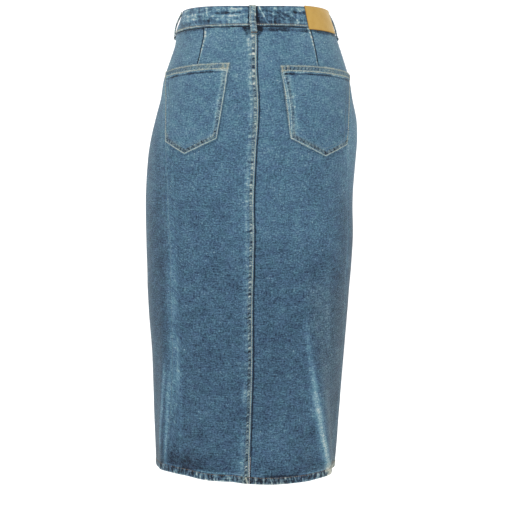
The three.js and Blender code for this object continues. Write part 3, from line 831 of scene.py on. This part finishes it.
def fold_wear_and_light(degrees, z):
    """Ridges of the drape are paler along their crests, partly rubbed wear and partly painted
    highlight where the folds catch the light; the cloth that turns away past the right one is
    greyer, a painted haze of the side light; painted shade darkens the sides that turn away from
    the light, and painted light brightens the right hip."""
    worn = np.zeros_like(z)
    # Pale crests: partly rubbed wear, partly painted highlight where the folds catch the light
    for top, foot, at, at_foot, wide, wide_foot, pale, pale_foot in zip(*RIDGES.values()):
        down = (top - z) / (top - foot)
        ending = smooth(0, 0.4, down) * smooth(1.3, 1.0, down)
        down = np.clip(down, 0, 1)
        distance = wrap(degrees - mix(at, at_foot, mix(down, down ** 5, 0.3))) / per_mm(degrees, z)
        uneven = 0.75 + 0.25 * lattice(z / 30, distance / 5, 83, 7)
        worn += mix(pale, pale_foot, down) * ending * hump(distance, mix(wide, wide_foot, down)) * uneven
    around = wrap(degrees)
    crest = mix(38.6, 55.8, np.clip((z + 470) / -330, 0, 1))
    # Past the right crest: a painted haze of the side light, greyer and a little lighter
    past = smooth(0, 9, around - crest) * smooth(-430, -520, z)
    # Where the cloth turns away at both sides: painted shade, with a little painted grey haze
    level = np.where(around > 0, -270, -150)
    beyond = smooth(50, 66, np.abs(around - 4)) * smooth(level, level - 80, z)
    # Painted light on the right hip
    hip = 0.12 * smooth(60, 74, around) * hump(z + 215, 60)
    return {"worn": worn + 0.02 * past - 0.16 * beyond + hip, "dust_and_painted_light": 0.2 * past + 0.04 * beyond}


def cloth_body(degrees, z):
    """Slack over the whole skirt: broad shallow waves, finer ones near hips and waist."""
    broad = 1.3 * cloud(degrees, z, 120, 170, 3) * smooth(-60, -160, z) * smooth(0, 60, z + 800)
    fine = 0.28 * cloud(degrees, z, 26, 34, 9)
    return (broad + fine) * smooth(-36, -75, z)


def cloth_tone(degrees, z):
    # Painted light from above, lighter towards the band, with random patches of tone on top
    tone = read(PAINTED_TOP_LIGHT, "z", "tone", z)
    return tone + 0.22 * cloud(degrees, z, 60, 75, 21) + 0.14 * cloud(degrees, z, 15, 10, 25)


def panel(name, start, end, near_start, near_end, fills, rows, details, dart=None):
    """One cloth panel. details(degrees, z, from start, from end) gives its seams' reliefs. A
    relief holds what it adds: out in mm, and shares of the cloth's shades."""
    degrees, z, below, above = panel_grid(start, end, near_start, near_end, fills, rows, dart)
    arc = arc_lengths(bare(degrees, z), 1)
    from_end = arc[:, -1:] - arc
    seam_fade = smooth(0, 14, arc) * smooth(0, 14, from_end)
    sums = {key: 0 * z for key in ("worn", "dust_and_painted_light", "ladder", "rungs")}
    sums["out"] = cloth_body(degrees, z) * mix(0.25, 1, seam_fade)
    reliefs = [*details(degrees, z, arc, from_end), fold_wear_and_light(degrees, z), hem_relief(degrees, above),
               under_band_relief(degrees, below)]
    if dart:
        reliefs.append(dart_relief(degrees, z, *dart))
    for relief in reliefs:
        for key, more in relief.items():
            sums[key] = sums[key] + more
    out = sums.pop("out")
    turned = HEM["double"] * smooth(HEM["turn"], HEM["turn"] - 1.5, above)
    outer = skin(degrees, z, out)
    inner = skin(degrees, z, np.minimum(out, 0.2) - CLOTH - turned)
    obj = sheet_object(name, outer, inner, [DENIM, DENIM_BACK], {"tone": cloth_tone(degrees, z), **sums})
    finish_piece(obj, [name])
    return obj


def line(name, turn=0.0):
    return lambda z: seam(name, z) + turn


def make_panels():
    left, back, right, front = line("left"), line("back"), line("right"), line("front")
    panel("back_panel_left", left, back, NEAR_SEAM, NEAR_LAP, (20, 40), FINE_ROWS,
          lambda degrees, z, arc, rest: [felled_relief(rest, z, 11), side_seam_relief(arc, z, 0.9, 16, 13)],
          dart=(DARTS["left"], 1))
    panel("back_panel_right", back, right, NEAR_SEAM, NEAR_SEAM, (42, 28), FINE_ROWS,
          lambda degrees, z, arc, rest: [under_lap_relief(arc, z), side_seam_relief(rest, z, 0.8, 8, 19)],
          dart=(DARTS["right"], -1))
    panel("front_panel_right", right, front, NEAR_SEAM, NEAR_SEAM, (84,), PLAIN_ROWS,
          lambda degrees, z, arc, rest: [side_seam_relief(arc, z, 0.7, 8, 23), under_lap_relief(rest, z)])
    panel("front_panel_left", front, line("left", 360), NEAR_LAP, NEAR_STREAKS, (86,), PLAIN_ROWS,
          lambda degrees, z, arc, rest: [felled_relief(arc, z, 29), side_seam_relief(rest, z, 0.9, 14, 37)])


def sew_panels():
    """The rows on the panels: both felled seams, the hem, and the fly's curved double row."""
    for name, side, top in (("back", -1, -44), ("front", 1, -46)):
        z = np.linspace(top, -790, 400)
        middle = seam(name, z)
        across = side * per_mm(middle, z)
        cream.row(middle + LAP["row"] * across, z, LAP["rise"] + 0.05, gap=0.3, radius=0.44)
        faded.row(middle + LAP["second_row"] * across, z, LAP["rise"])
    around = np.linspace(-180, 180, 720)
    tan.row(around, hem_height(around) + HEM["row"], 0.05)
    straight = FLY["straight"]
    for wide in FLY["rows"]:
        bend = np.linspace(0, 1, 160)
        sweep = np.clip((bend - straight) / (1 - straight), 0, 1) * np.pi / 2
        z = np.where(bend < straight, mix(FLY["top"], FLY["bend"], bend / straight),
                     FLY["bend"] - wide * np.sin(sweep))
        across = np.where(bend < straight, wide, wide * np.cos(sweep) + 4 * (1 - np.cos(sweep)))
        tan.row(seam("front", z) + across * per_mm(seam("front", z), z), z, 0.2)


# Waistband

def chain_distance(points, corners):
    """Distance of flat points from a chain of straight segments, and the place along it."""
    distances, places, before = [], [], 0.0
    for start, end in zip(corners, corners[1:]):
        run = end - start
        share = np.clip(((points - start) @ run) / (run @ run), 0, 1)
        distances.append(np.linalg.norm(points - start - share[..., None] * run, axis=-1))
        places.append(before + share * np.hypot(*run))
        before += np.hypot(*run)
    nearest = np.argmin(distances, 0)[None]
    return [np.take_along_axis(np.array(values), nearest, 0)[0] for values in (distances, places)]


def make_waistband():
    """One doubled strip, once round. Its free end rides out over the other end at the front.
    The face has a groove at each stitched edge and lies in long uneven waves between them."""
    start = BUTTON["at"] - BAND["underlap"] / 2
    degrees = start + np.linspace(0, 1, 620) * (360 + BAND["underlap"])
    share = np.concatenate([[0, 0.012, 0.03], np.linspace(0.06, 0.94, 27), [0.97, 0.988, 1.0]])[:, None]
    top, foot = band_top(degrees), band_foot(degrees)
    z = mix(top, foot, share)
    ride = 1 - smooth(start + BAND["underlap"] + 1, start + BAND["underlap"] + BAND["slide"], degrees)
    lifted = (BAND["thick"] + BAND["apart"]) * ride + 0 * z
    below, above = top - z, z - foot
    degrees = degrees + 0 * z
    x = degrees * 2.1
    waves = lattice(x / 30, z / 5.5 + 0.4 * lattice(x / 45, z / 20, 64, 52), 64, 51)
    waves += 0.5 * lattice(x / 12, z / 3.2, 128, 53)
    inside = smooth(1.5, 5, below) * smooth(2.5, 6, above)
    pleats = lattice(x / 7, z / 40, 256, 57)
    out = 0.42 * waves * inside + 0.16 * pleats * inside
    out = out - 0.45 * hump(above - 3.2, 0.9) - 0.35 * hump(below - 2.6, 0.9)
    out = out - 0.5 * smooth(0.9, 0, below) - 0.35 * smooth(0.8, 0, above)
    worn = inside * (0.36 * waves + 0.3 * np.maximum(pleats - 0.1, 0))
    around = wrap(degrees)
    height = np.mean(top - foot)
    for at, share_at, at_end, share_end, wide, pale in zip(*BAND_STROKES.values()):
        places = np.stack([around / per_mm(degrees, z), share * height + 0 * z], -1)
        ends = [np.array([a / per_mm(np.array(a), np.array(-20.0)), b * height])
                for a, b in ((at, share_at), (at_end, share_end))]
        ragged = 1 + 0.5 * lattice(x / 4, z / 4, 64, 54)
        worn += pale * hump(chain_distance(places, ends)[0] * ragged, wide) * (0.9 + 0.3 * waves)
    worn *= mix(0.78, 1.05, smooth(-6, 0, around))
    worn = worn * smooth(1.6, 3.4, above) - 0.45 * hump(below, 1.1) + 0.35 * hump(above - 1.6, 0.8)
    worn -= 0.3 * smooth(0, 1.5, around) * smooth(46, 30, around)
    # Both sides of the middle loop: painted shade of the loop on the band, together with cloth it protects from
    # fading
    edge = np.abs(around - LOOPS["belt_loop_back"][0]) / per_mm(degrees, z)
    worn -= 0.75 * hump(edge - 6.4, 1.6)
    dust_and_painted_light = 0.03 + 0.3 * hump(above - 1.6, 0.8)
    tone = 0.85 + 0.3 * cloud(degrees, z, 40, 18, 59)
    outer = skin(degrees, z, BAND["out"] + lifted + out)
    inner = skin(degrees, z, BAND["out"] + lifted - BAND["thick"] + 0 * z)
    shades = {"tone": tone, "worn": worn, "dust_and_painted_light": dust_and_painted_light}
    obj = sheet_object("waistband", outer, inner, [BAND_DENIM, DENIM_BACK], shades)
    finish_piece(obj, ["waistband"])
    around = np.linspace(start + 1, start + 359 + BAND["underlap"] - 1, 900)
    lift = BAND["out"] + (BAND["thick"] + BAND["apart"]) * (
        1 - smooth(start + BAND["underlap"] + 1, start + BAND["underlap"] + BAND["slide"], around))
    cream.row(around, band_foot(around) + 1.6, lift + 0.05, gap=0.3, radius=0.46)
    tan.row(around, band_foot(around) + 3.6, lift - 0.1)
    up = np.linspace(0.12, 0.88, 40)
    end = start + 1.4 + 0 * up
    tan.row(end, mix(band_top(end), band_foot(end), up), BAND["out"] + BAND["thick"] + 0.85)


# Belt loops

def loop_rest(share, over):
    """How far a loop's inner face stands off: sewn flat at both ends and bowed between."""
    bow = np.sin(np.pi * np.clip((share - 0.07) / 0.77, 0, 1)) ** 0.8
    return mix(BAND["out"] + LAY_GAP, LAY_GAP + over, smooth(0.8, 0.9, share)) + (LOOP["stand"] - BAND["out"]) * bow


def loop_thick(share):
    """A loop's thickness, more where its foot is folded."""
    return LOOP["thick"] * (1 + LOOP["fold"] * smooth(0.84, 0.88, share))


def make_loop(name, middle, over, below):
    """A belt loop: a folded strip with rounded edges, two stitch rows, and a doubled foot."""
    share = np.concatenate([np.linspace(0, 0.8, 44), np.linspace(0.81, 1, 22)])[:, None]
    half = np.array([0.2, 0.42, 0.58, 0.74, 0.88, 0.97, 1])
    across = np.concatenate([-half[::-1], [0], half])
    top, foot = band_top(middle) + 0.5, band_foot(middle) - below
    z = mix(top, foot, share) + 0 * across
    place = across * LOOP["wide"] / 2
    degrees = middle + place * per_mm(middle + 0 * z, z)
    twist = roping(z, place, 6.5, 0.03, 71)
    edge = smooth(0.86, 1.0, np.abs(across))
    groove = hump((np.abs(across) - LOOP["row"]) * LOOP["wide"] / 2, 0.7)
    out = 0.3 * (1 - across ** 2) - 0.5 * edge - 0.28 * groove + 0.16 * twist * (1 - edge)
    thick = loop_thick(share) - 0.5 * smooth(0.985, 1, share)
    rest = loop_rest(share, over)
    outer = skin(degrees, z, rest + thick + out)
    inner = skin(degrees, z, rest + 0 * z)
    worn = 0.2 + 0.2 * twist + 0.3 * hump(np.abs(across) - 0.95, 0.07) + 0.16 * hump(across + 0.45, 0.5)
    worn = worn - 0.3 * groove - 1.2 * hump(share - 0.96, 0.03) - 0.3 * hump(share - 0.5, 0.12)
    tone = 0.9 + 0.2 * cloud(degrees, z, 12, 9, 73)
    shades = {"tone": tone, "worn": worn, "dust_and_painted_light": 0.22, "ladder": 1.6}
    obj = sheet_object(name, outer, inner, [DENIM], shades)
    finish_piece(obj, [name])
    run = np.linspace(0.03, 0.97, 90)
    height = mix(top, foot, run)
    stand = loop_rest(run, over) + loop_thick(run) + 0.05
    for side in (-1, 1):
        offset = side * LOOP["row"] * LOOP["wide"] / 2 * per_mm(middle + 0 * height, height)
        cream.row(middle + offset, height, stand, long=2.2, radius=0.3)
    for level, thread in ((0.035, cream), (0.945, tan), (0.97, tan)):
        place = np.linspace(-0.85, 0.85, 20) * LOOP["wide"] / 2
        height = mix(top, foot, level) + 0 * place
        stand = loop_rest(level, over) + loop_thick(level) + 0.3
        thread.row(middle + place * per_mm(middle + 0 * height, height), height, stand, long=1.0, gap=0.1)


# Pockets

def pocket_angle(x, z):
    return np.clip(angle_across(x, z), seam("left", z) + 1, seam("right", z) - 1)


def pocket_place(spec, down, across, tip_share):
    """Angle and height in a pocket: down from mouth to foot, across from its left edge. The
    sides are straight, the mouth is a shallow arch and the foot comes to a point."""
    (left, left_z), (right, right_z) = spec["top"]
    (foot_left, foot_left_z), (foot_right, foot_right_z) = spec["foot"]
    mouth = mix(left_z, right_z, across) + POCKET["arch"] * np.sin(np.pi * across)
    point = np.where(
        across < tip_share,
        mix(foot_left_z, spec["tip"][1], across / tip_share),
        mix(spec["tip"][1], foot_right_z, (across - tip_share) / (1 - tip_share)))
    z = mix(mouth, point, down)
    start = pocket_angle(mix(left, foot_left, down), z)
    end = pocket_angle(mix(right, foot_right, down), z)
    return mix(start, end, across), z


def make_pocket(name, spec):
    """A patch pocket: turned double mouth, pressed edges with a stitched groove close to them,
    and the rope-like puckers that washing leaves inside the stitching."""
    (foot_left, foot_right), tip = spec["foot"], spec["tip"]
    first, last = pocket_angle(*foot_left), pocket_angle(*foot_right)
    tip_share = float((pocket_angle(*tip) - first) / (last - first))
    edge = np.array([0, 0.006, 0.012, 0.019, 0.027, 0.035, 0.043, 0.05])
    inner_columns = np.linspace(0.05, 0.95, 104)[1:-1]
    inner_columns[np.argmin(np.abs(inner_columns - tip_share))] = tip_share
    across = np.concatenate([edge, inner_columns, 1 - edge[::-1]])[None, :]
    down = np.concatenate([edge * 0.7, np.linspace(0.035, 0.96, 124)[1:-1], 1 - 0.8 * edge[::-1]])[:, None]
    degrees, z = pocket_place(spec, down, across, tip_share)
    middle = (first + last) / 2
    arc_from_middle = (degrees - middle) / per_mm((degrees + middle) / 2, z)
    flat = np.stack([arc_from_middle, z], -1)
    tip_column = np.argmin(np.abs(across - tip_share))
    corners = [flat[0, 0], flat[-1, 0], flat[-1, tip_column], flat[-1, -1], flat[0, -1]]
    rim, run = chain_distance(flat, corners)
    below = flat[0, None, :, 1] - flat[..., 1]
    mouth = smooth(POCKET["hem"] + 0.8, POCKET["hem"] - 0.8, below)
    nick = notches(run, rim, 7.4, 0.05, 81)
    nick = np.maximum(nick, 0.8 * notches(run, rim, 4.6, -0.04, 83))
    foot = smooth(0.84, 0.9, down + 0 * z)
    core = smooth(2.6, 3.6, rim) * smooth(9.4, mix(5.5, 7.5, foot), rim) * (1 - mouth)
    edge_nick = notches(arc_from_middle, below, 6.2, 0.07, 85)
    edge_nick = edge_nick * smooth(2.8, 4.2, below) * smooth(9.4, 8.2, below)
    edge_twist = roping(arc_from_middle, below, 6.2, 0.07, 85)
    out = POCKET["swell"] * mouth + 0.45 * smooth(11.5, 9, rim) * (1 - mouth)
    out = out - 0.3 * hump(rim - 1.9, 0.8) - 0.55 * nick * core - 0.35 * smooth(0.9, 0, rim)
    out = out - (0.35 * hump(below - 2.2, 0.8) + 0.35 * hump(below - 9.8, 0.8)) * mouth
    out = out + 0.3 * edge_twist * mouth * smooth(0.5, 3, below) - 0.3 * smooth(0.9, 0, below)
    out = out + 0.5 * cloud(degrees, z, 30, 34, 87) * smooth(8, 26, rim) * (1 - mouth)
    patchy = 0.6 + 0.4 * lattice(run / 5, rim / 4, 89, 88)
    towards_middle = hump((across if spec["inner"] == 0 else 1 - across) * 115, 17)
    worn = core * (0.2 * patchy - 1.05 * nick) + 0.6 * hump(rim - 1.7, 0.9)
    worn = worn + (0.14 + 0.45 * towards_middle) * hump(rim - 9.5, 3.2) * patchy * (1 - mouth)
    worn = worn + mouth * (0.05 + 0.1 * edge_twist - 0.9 * edge_nick) + 0.35 * hump(below - 1.9, 0.9)
    worn = worn + 0.4 * mouth * hump(below - 10.2, 0.9)
    flares = smooth(-0.2, 0.5, lattice(arc_from_middle / 17 + 9, below * 0, 89, 91))
    worn = worn + 0.5 * flares * hump(below - POCKET["hem"] - 0.9, 1.1) * smooth(1, 5, rim)
    # Below the mouth hem: a painted shadow of the hem, broken where rubbed flares lighten it
    worn = worn - (0.9 - 0.45 * flares) * hump(below - POCKET["hem"] - 3.2, 1.5) * smooth(1, 5, rim)
    dust_and_painted_light = 0.55 * mouth * patchy + mix(0.25, 0.5, foot) * core + 0.2 * hump(rim - 1.7, 0.9)
    outer = skin(degrees, z, LAY_GAP + POCKET["thick"] + out)
    inner = skin(degrees, z, LAY_GAP + 0 * z)
    shades = {"tone": cloth_tone(degrees, z) + 0.05, "worn": worn, "dust_and_painted_light": dust_and_painted_light}
    obj = sheet_object(name, outer, inner, [DENIM, DENIM_BACK], shades)
    finish_piece(obj, [name])
    sew_pocket(spec, tip_share)


def sew_pocket(spec, tip_share):
    """Edge stitching round the sides and foot, two rows on the mouth, and a boxed inner tack."""
    height = LAY_GAP + POCKET["thick"] + 0.25
    mouth_height = height + POCKET["swell"]
    wide, long, foot_row = POCKET["wide"], POCKET["long"], POCKET["foot_row"]
    near, second = POCKET["row"] / wide, POCKET["second_row"] / wide
    steps = np.linspace(0, 1, 120)
    rise = height + POCKET["swell"] * smooth(POCKET["hem"] + 0.8, POCKET["hem"] - 0.8, steps * long)
    whole, within = mix(near, 1 - near, steps), mix(second, 1 - second, steps)

    def row(thread, down, across, out, **thick):
        thread.row(*pocket_place(spec, down, across, tip_share), out, **thick)

    for side in (near, 1 - near):
        row(cream, mix(0.01, 1 - POCKET["row"] / long, steps), side, rise, gap=0.3, radius=0.42)
    row(cream, 1 - 1.9 / long, whole, height, gap=0.3, radius=0.42)
    for side in (second, 1 - second):
        row(faded, mix((POCKET["hem"] + 1) / long, 1 - foot_row / long, steps), side, height)
    row(faded, 1 - foot_row / long, within, height)
    for below in (2.2, POCKET["second_row"]):
        row(cream, below / long, whole, mouth_height)
    for distance in (2.6, 4.4, 9.4, 11.2):
        side = 1 - distance / wide if spec["inner"] else distance / wide
        row(cream, mix(2.6, POCKET["second_row"], steps) / long, side, mouth_height)


# Patch, button and zip

def make_patch():
    """A bare leather patch over the band's height, with a thin bevelled and darker rim, and painted light that
    brightens its right part.
    """
    edge = np.array([0, 0.006, 0.015, 0.03])
    across = np.concatenate([edge, np.linspace(0.03, 0.97, 60)[1:-1], 1 - edge[::-1]])[None, :]
    down = np.concatenate([edge, np.linspace(0.03, 0.97, 44)[1:-1], 1 - edge[::-1]])[:, None]
    left, right = (mix(PATCH["top"][end], PATCH["bottom"][end], down) for end in (0, 1))
    degrees = mix(left, right, across)
    z = mix(band_top(degrees) + 0.5, band_foot(degrees) - PATCH["below"], down)
    wide, tall = 60.0, 43.0
    rim = np.minimum(np.minimum(across, 1 - across) * wide, np.minimum(down, 1 - down) * tall)
    corner = hump(np.hypot(across * wide, (1 - down) * tall), 3.0)
    waves = 0.35 * lattice(degrees / 9, z / 16, 64, 91)
    out = -0.5 * smooth(0.9, 0, rim) + waves * smooth(0, 6, rim) - 0.4 * corner
    under = BAND["out"] + LAY_GAP + 0.2
    outer = skin(degrees, z, under + PATCH["thick"] + out)
    inner = skin(degrees, z, under + 0 * z)
    # Darker rim and faint mottling; the right part made lighter as painted light
    worn = -0.3 * hump(rim, 0.8) + 0.06 * lattice(degrees / 3, z / 6, 64, 93) + 0.4 * smooth(0.55, 1, across)
    obj = sheet_object("leather_patch", outer, inner, [LEATHER], {"worn": worn})
    finish_piece(obj, ["leather_patch"])


def revolve(radius, height, sides):
    """A profile of radii and heights turned about Z: its rings of points, and quads that face
    away from the axis where the profile rises."""
    angle = np.arange(sides) * 2 * np.pi / sides
    rings = np.stack([np.outer(radius, np.cos(angle)), np.outer(radius, np.sin(angle)),
                      np.outer(height, np.ones(sides))], -1)
    at = np.arange(len(radius) * sides).reshape(len(radius), sides)
    following = np.roll(at, -1, axis=1)
    quads = [at[:-1].ravel(), following[:-1].ravel(), following[1:].ravel(), at[1:].ravel()]
    return rings.reshape(-1, 3), np.stack(quads, 1)


def turned(name, profile, sides, material, nodes=()):
    """A shape turned about the button's own axis from (radius, height) pairs, then set in place."""
    points, walls = revolve(*np.array(profile, float).T, sides)
    z = (band_top(BUTTON["at"]) + band_foot(BUTTON["at"])) / 2
    out = BAND["out"] + BAND["thick"] + 0.9 + 0.2 + 0.3
    foot = skin(np.array(BUTTON["at"]), np.array(z), out)
    axis = normals(np.array(BUTTON["at"]), np.array(z))
    side = np.cross([0, 0, 1.0], axis)
    side /= np.linalg.norm(side)
    basis = np.stack([side, np.cross(axis, side), axis])
    obj = mesh_object(name, foot + points @ basis, walls)
    edit = bmesh.new()
    edit.from_mesh(obj.data)
    bmesh.ops.remove_doubles(edit, verts=edit.verts, dist=1e-6)
    bmesh.ops.recalc_face_normals(edit, faces=edit.faces)
    edit.to_mesh(obj.data)
    edit.free()
    obj.data.materials.append(material)
    return finish_piece(obj, nodes)


def make_button():
    """A metal jeans button: rolled rim, shallow dish and a low dome."""
    radius, shank, stand, thick = (BUTTON[key] for key in ("radius", "shank", "stand", "thick"))
    top = stand + thick
    turned("waist_button_shell", [
        (0, 0), (shank, 0), (shank, stand - 0.2), (shank + 0.4, stand), (radius - 1.2, stand),
        (radius - 0.4, stand + 0.3), (radius, stand + 0.9), (radius, stand + 1.5),
        (radius - 0.4, top - 0.9), (radius - 1.0, top - 0.6), (radius - 1.7, top - 0.75),
        (radius - 2.1, top - 1.1), (radius - 3.0, top - 1.15), (radius - 4.2, top - 0.75),
        (radius - 5.4, top - 0.4), (radius - 6.8, top - 0.15), (0, top - 0.1),
    ], 64, BRASS, ["waist_button"])


def make_zip():
    """The closed zip behind the fly: woven tape, two rows of meshed teeth and a slider body."""
    down = np.linspace(0, 1, 60)[:, None]
    across = np.linspace(-1, 1, 17)[None, :]
    z = mix(ZIP["from"], ZIP["to"], down) + 0 * across
    middle = seam("front", z)
    degrees = middle + across * ZIP["half"] * per_mm(middle, z)
    face = -CLOTH - ZIP["gap"]
    outer = skin(degrees, z, face - 0.2 * hump(across, 0.2))
    inner = skin(degrees, z, face - ZIP["thick"] + 0.25 * (1 - hump(across, 0.25)))
    shades = {"tone": 0.3, "worn": 0.1 * hump(np.abs(across) - 1, 0.1)}
    obj = sheet_object("fly_zip", outer, inner, [TAPE], shades)
    finish_piece(obj, ["fly_zip"])
    teeth = Sewing()
    height = np.arange(ZIP["from"] - 6, ZIP["to"] + 8, -1.3)
    side = np.where(np.arange(len(height)) % 2 == 0, 1.0, -1.0)
    middle = seam("front", height)
    degrees = middle + side * 0.9 * per_mm(middle, height)
    along = bare(middle + 0.5, height) - bare(middle - 0.5, height)
    along /= np.linalg.norm(along, axis=1, keepdims=True)
    up = -normals(degrees, height)
    teeth.bars(skin(degrees, height, face - ZIP["thick"] - 0.1), along, up, 3.2, 0.55)
    place = np.array([ZIP["from"] - 4.0])
    middle = seam("front", place)
    upright = np.array([[0, 0, 1.0]])
    slider_out = -normals(middle, place)
    teeth.bars(skin(middle, place, face - ZIP["thick"] - 0.6), upright, slider_out, 8.5, 1.5)
    teeth.make("zip_teeth", BRASS)


# Studio

def stage_material():
    material = bpy.data.materials.new("studio_paper")
    material.use_nodes = True
    shader = material.node_tree.nodes["Principled BSDF"]
    shader.inputs["Base Color"].default_value = (0.45, 0.45, 0.45, 1)
    shader.inputs["Roughness"].default_value = 0.9
    shader.inputs["Specular IOR Level"].default_value = 0.1
    shader.inputs["Emission Color"].default_value = (1, 1, 1, 1)
    shader.inputs["Emission Strength"].default_value = 0.72
    return material


def make_floor():
    """A pale floor that sweeps up into a backdrop on every side, like a wide shallow bowl."""
    radius = np.array([0, 1.5, 2.6, 3.0, 3.3, 3.55, 3.75, 3.9, 4.0, 4.05, 4.1, 4.1])
    height = np.array([0, 0, 0, 0.03, 0.1, 0.22, 0.4, 0.65, 0.95, 1.4, 2.2, 5.0]) + FLOOR
    points, faces = revolve(radius, height, 96)
    floor = mesh_object("studio_floor", points / MM, faces[:, ::-1])
    floor.data.materials.append(stage_material())
    bpy.context.scene.collection.objects.link(floor)


def area_light(name, place, target, size, power):
    data = bpy.data.lights.new(name, "AREA")
    data.shape = "RECTANGLE"
    data.size, data.size_y = size
    data.energy = power
    obj = bpy.data.objects.new(name, data)
    direction = np.array(target, float) - np.array(place, float)
    obj.location = place
    obj.rotation_euler = Vector(direction).to_track_quat("-Z", "Y").to_euler()
    bpy.context.scene.collection.objects.link(obj)


def make_studio():
    scene = bpy.context.scene
    camera = bpy.data.cameras.new("photo_view")
    camera.sensor_width = 36
    camera.sensor_fit = "HORIZONTAL"
    camera.lens = CAMERA["focal_px"] / CAMERA["frame_px"] * camera.sensor_width
    camera.clip_end = 50
    obj = bpy.data.objects.new("photo_view", camera)
    obj.location = (0, -CAMERA["distance"], CAMERA["height"])
    obj.rotation_euler = (np.pi / 2, 0, 0)
    scene.collection.objects.link(obj)
    scene.camera = obj
    world = bpy.data.worlds.new("studio_light")
    world.use_nodes = True
    world.node_tree.nodes["Background"].inputs["Color"].default_value = (1, 1, 1, 1)
    world.node_tree.nodes["Background"].inputs["Strength"].default_value = 0.4
    scene.world = world
    scene.view_settings.view_transform = "Standard"
    middle = (0, 0, -0.4)
    area_light("key", (-1.1, -2.6, 0.9), middle, (1.6, 1.6), 42)
    area_light("fill", (1.5, -2.4, 0.1), middle, (1.6, 2.0), 16)
    area_light("overhead", (0, 0.2, 1.6), middle, (2.4, 2.4), 14)
    area_light("behind", (0.3, 2.8, 0.4), middle, (2.0, 2.4), 24)


make_panels()
make_waistband()
for loop_name, loop_spec in LOOPS.items():
    make_loop(loop_name, *loop_spec)
for pocket_name, pocket_spec in POCKETS.items():
    make_pocket(pocket_name, pocket_spec)
make_patch()
make_button()
make_zip()
sew_panels()
cream.make("cream_stitching", CREAM)
tan.make("tan_stitching", TAN)
faded.make("faded_stitching", FADED)
make_floor()
make_studio()
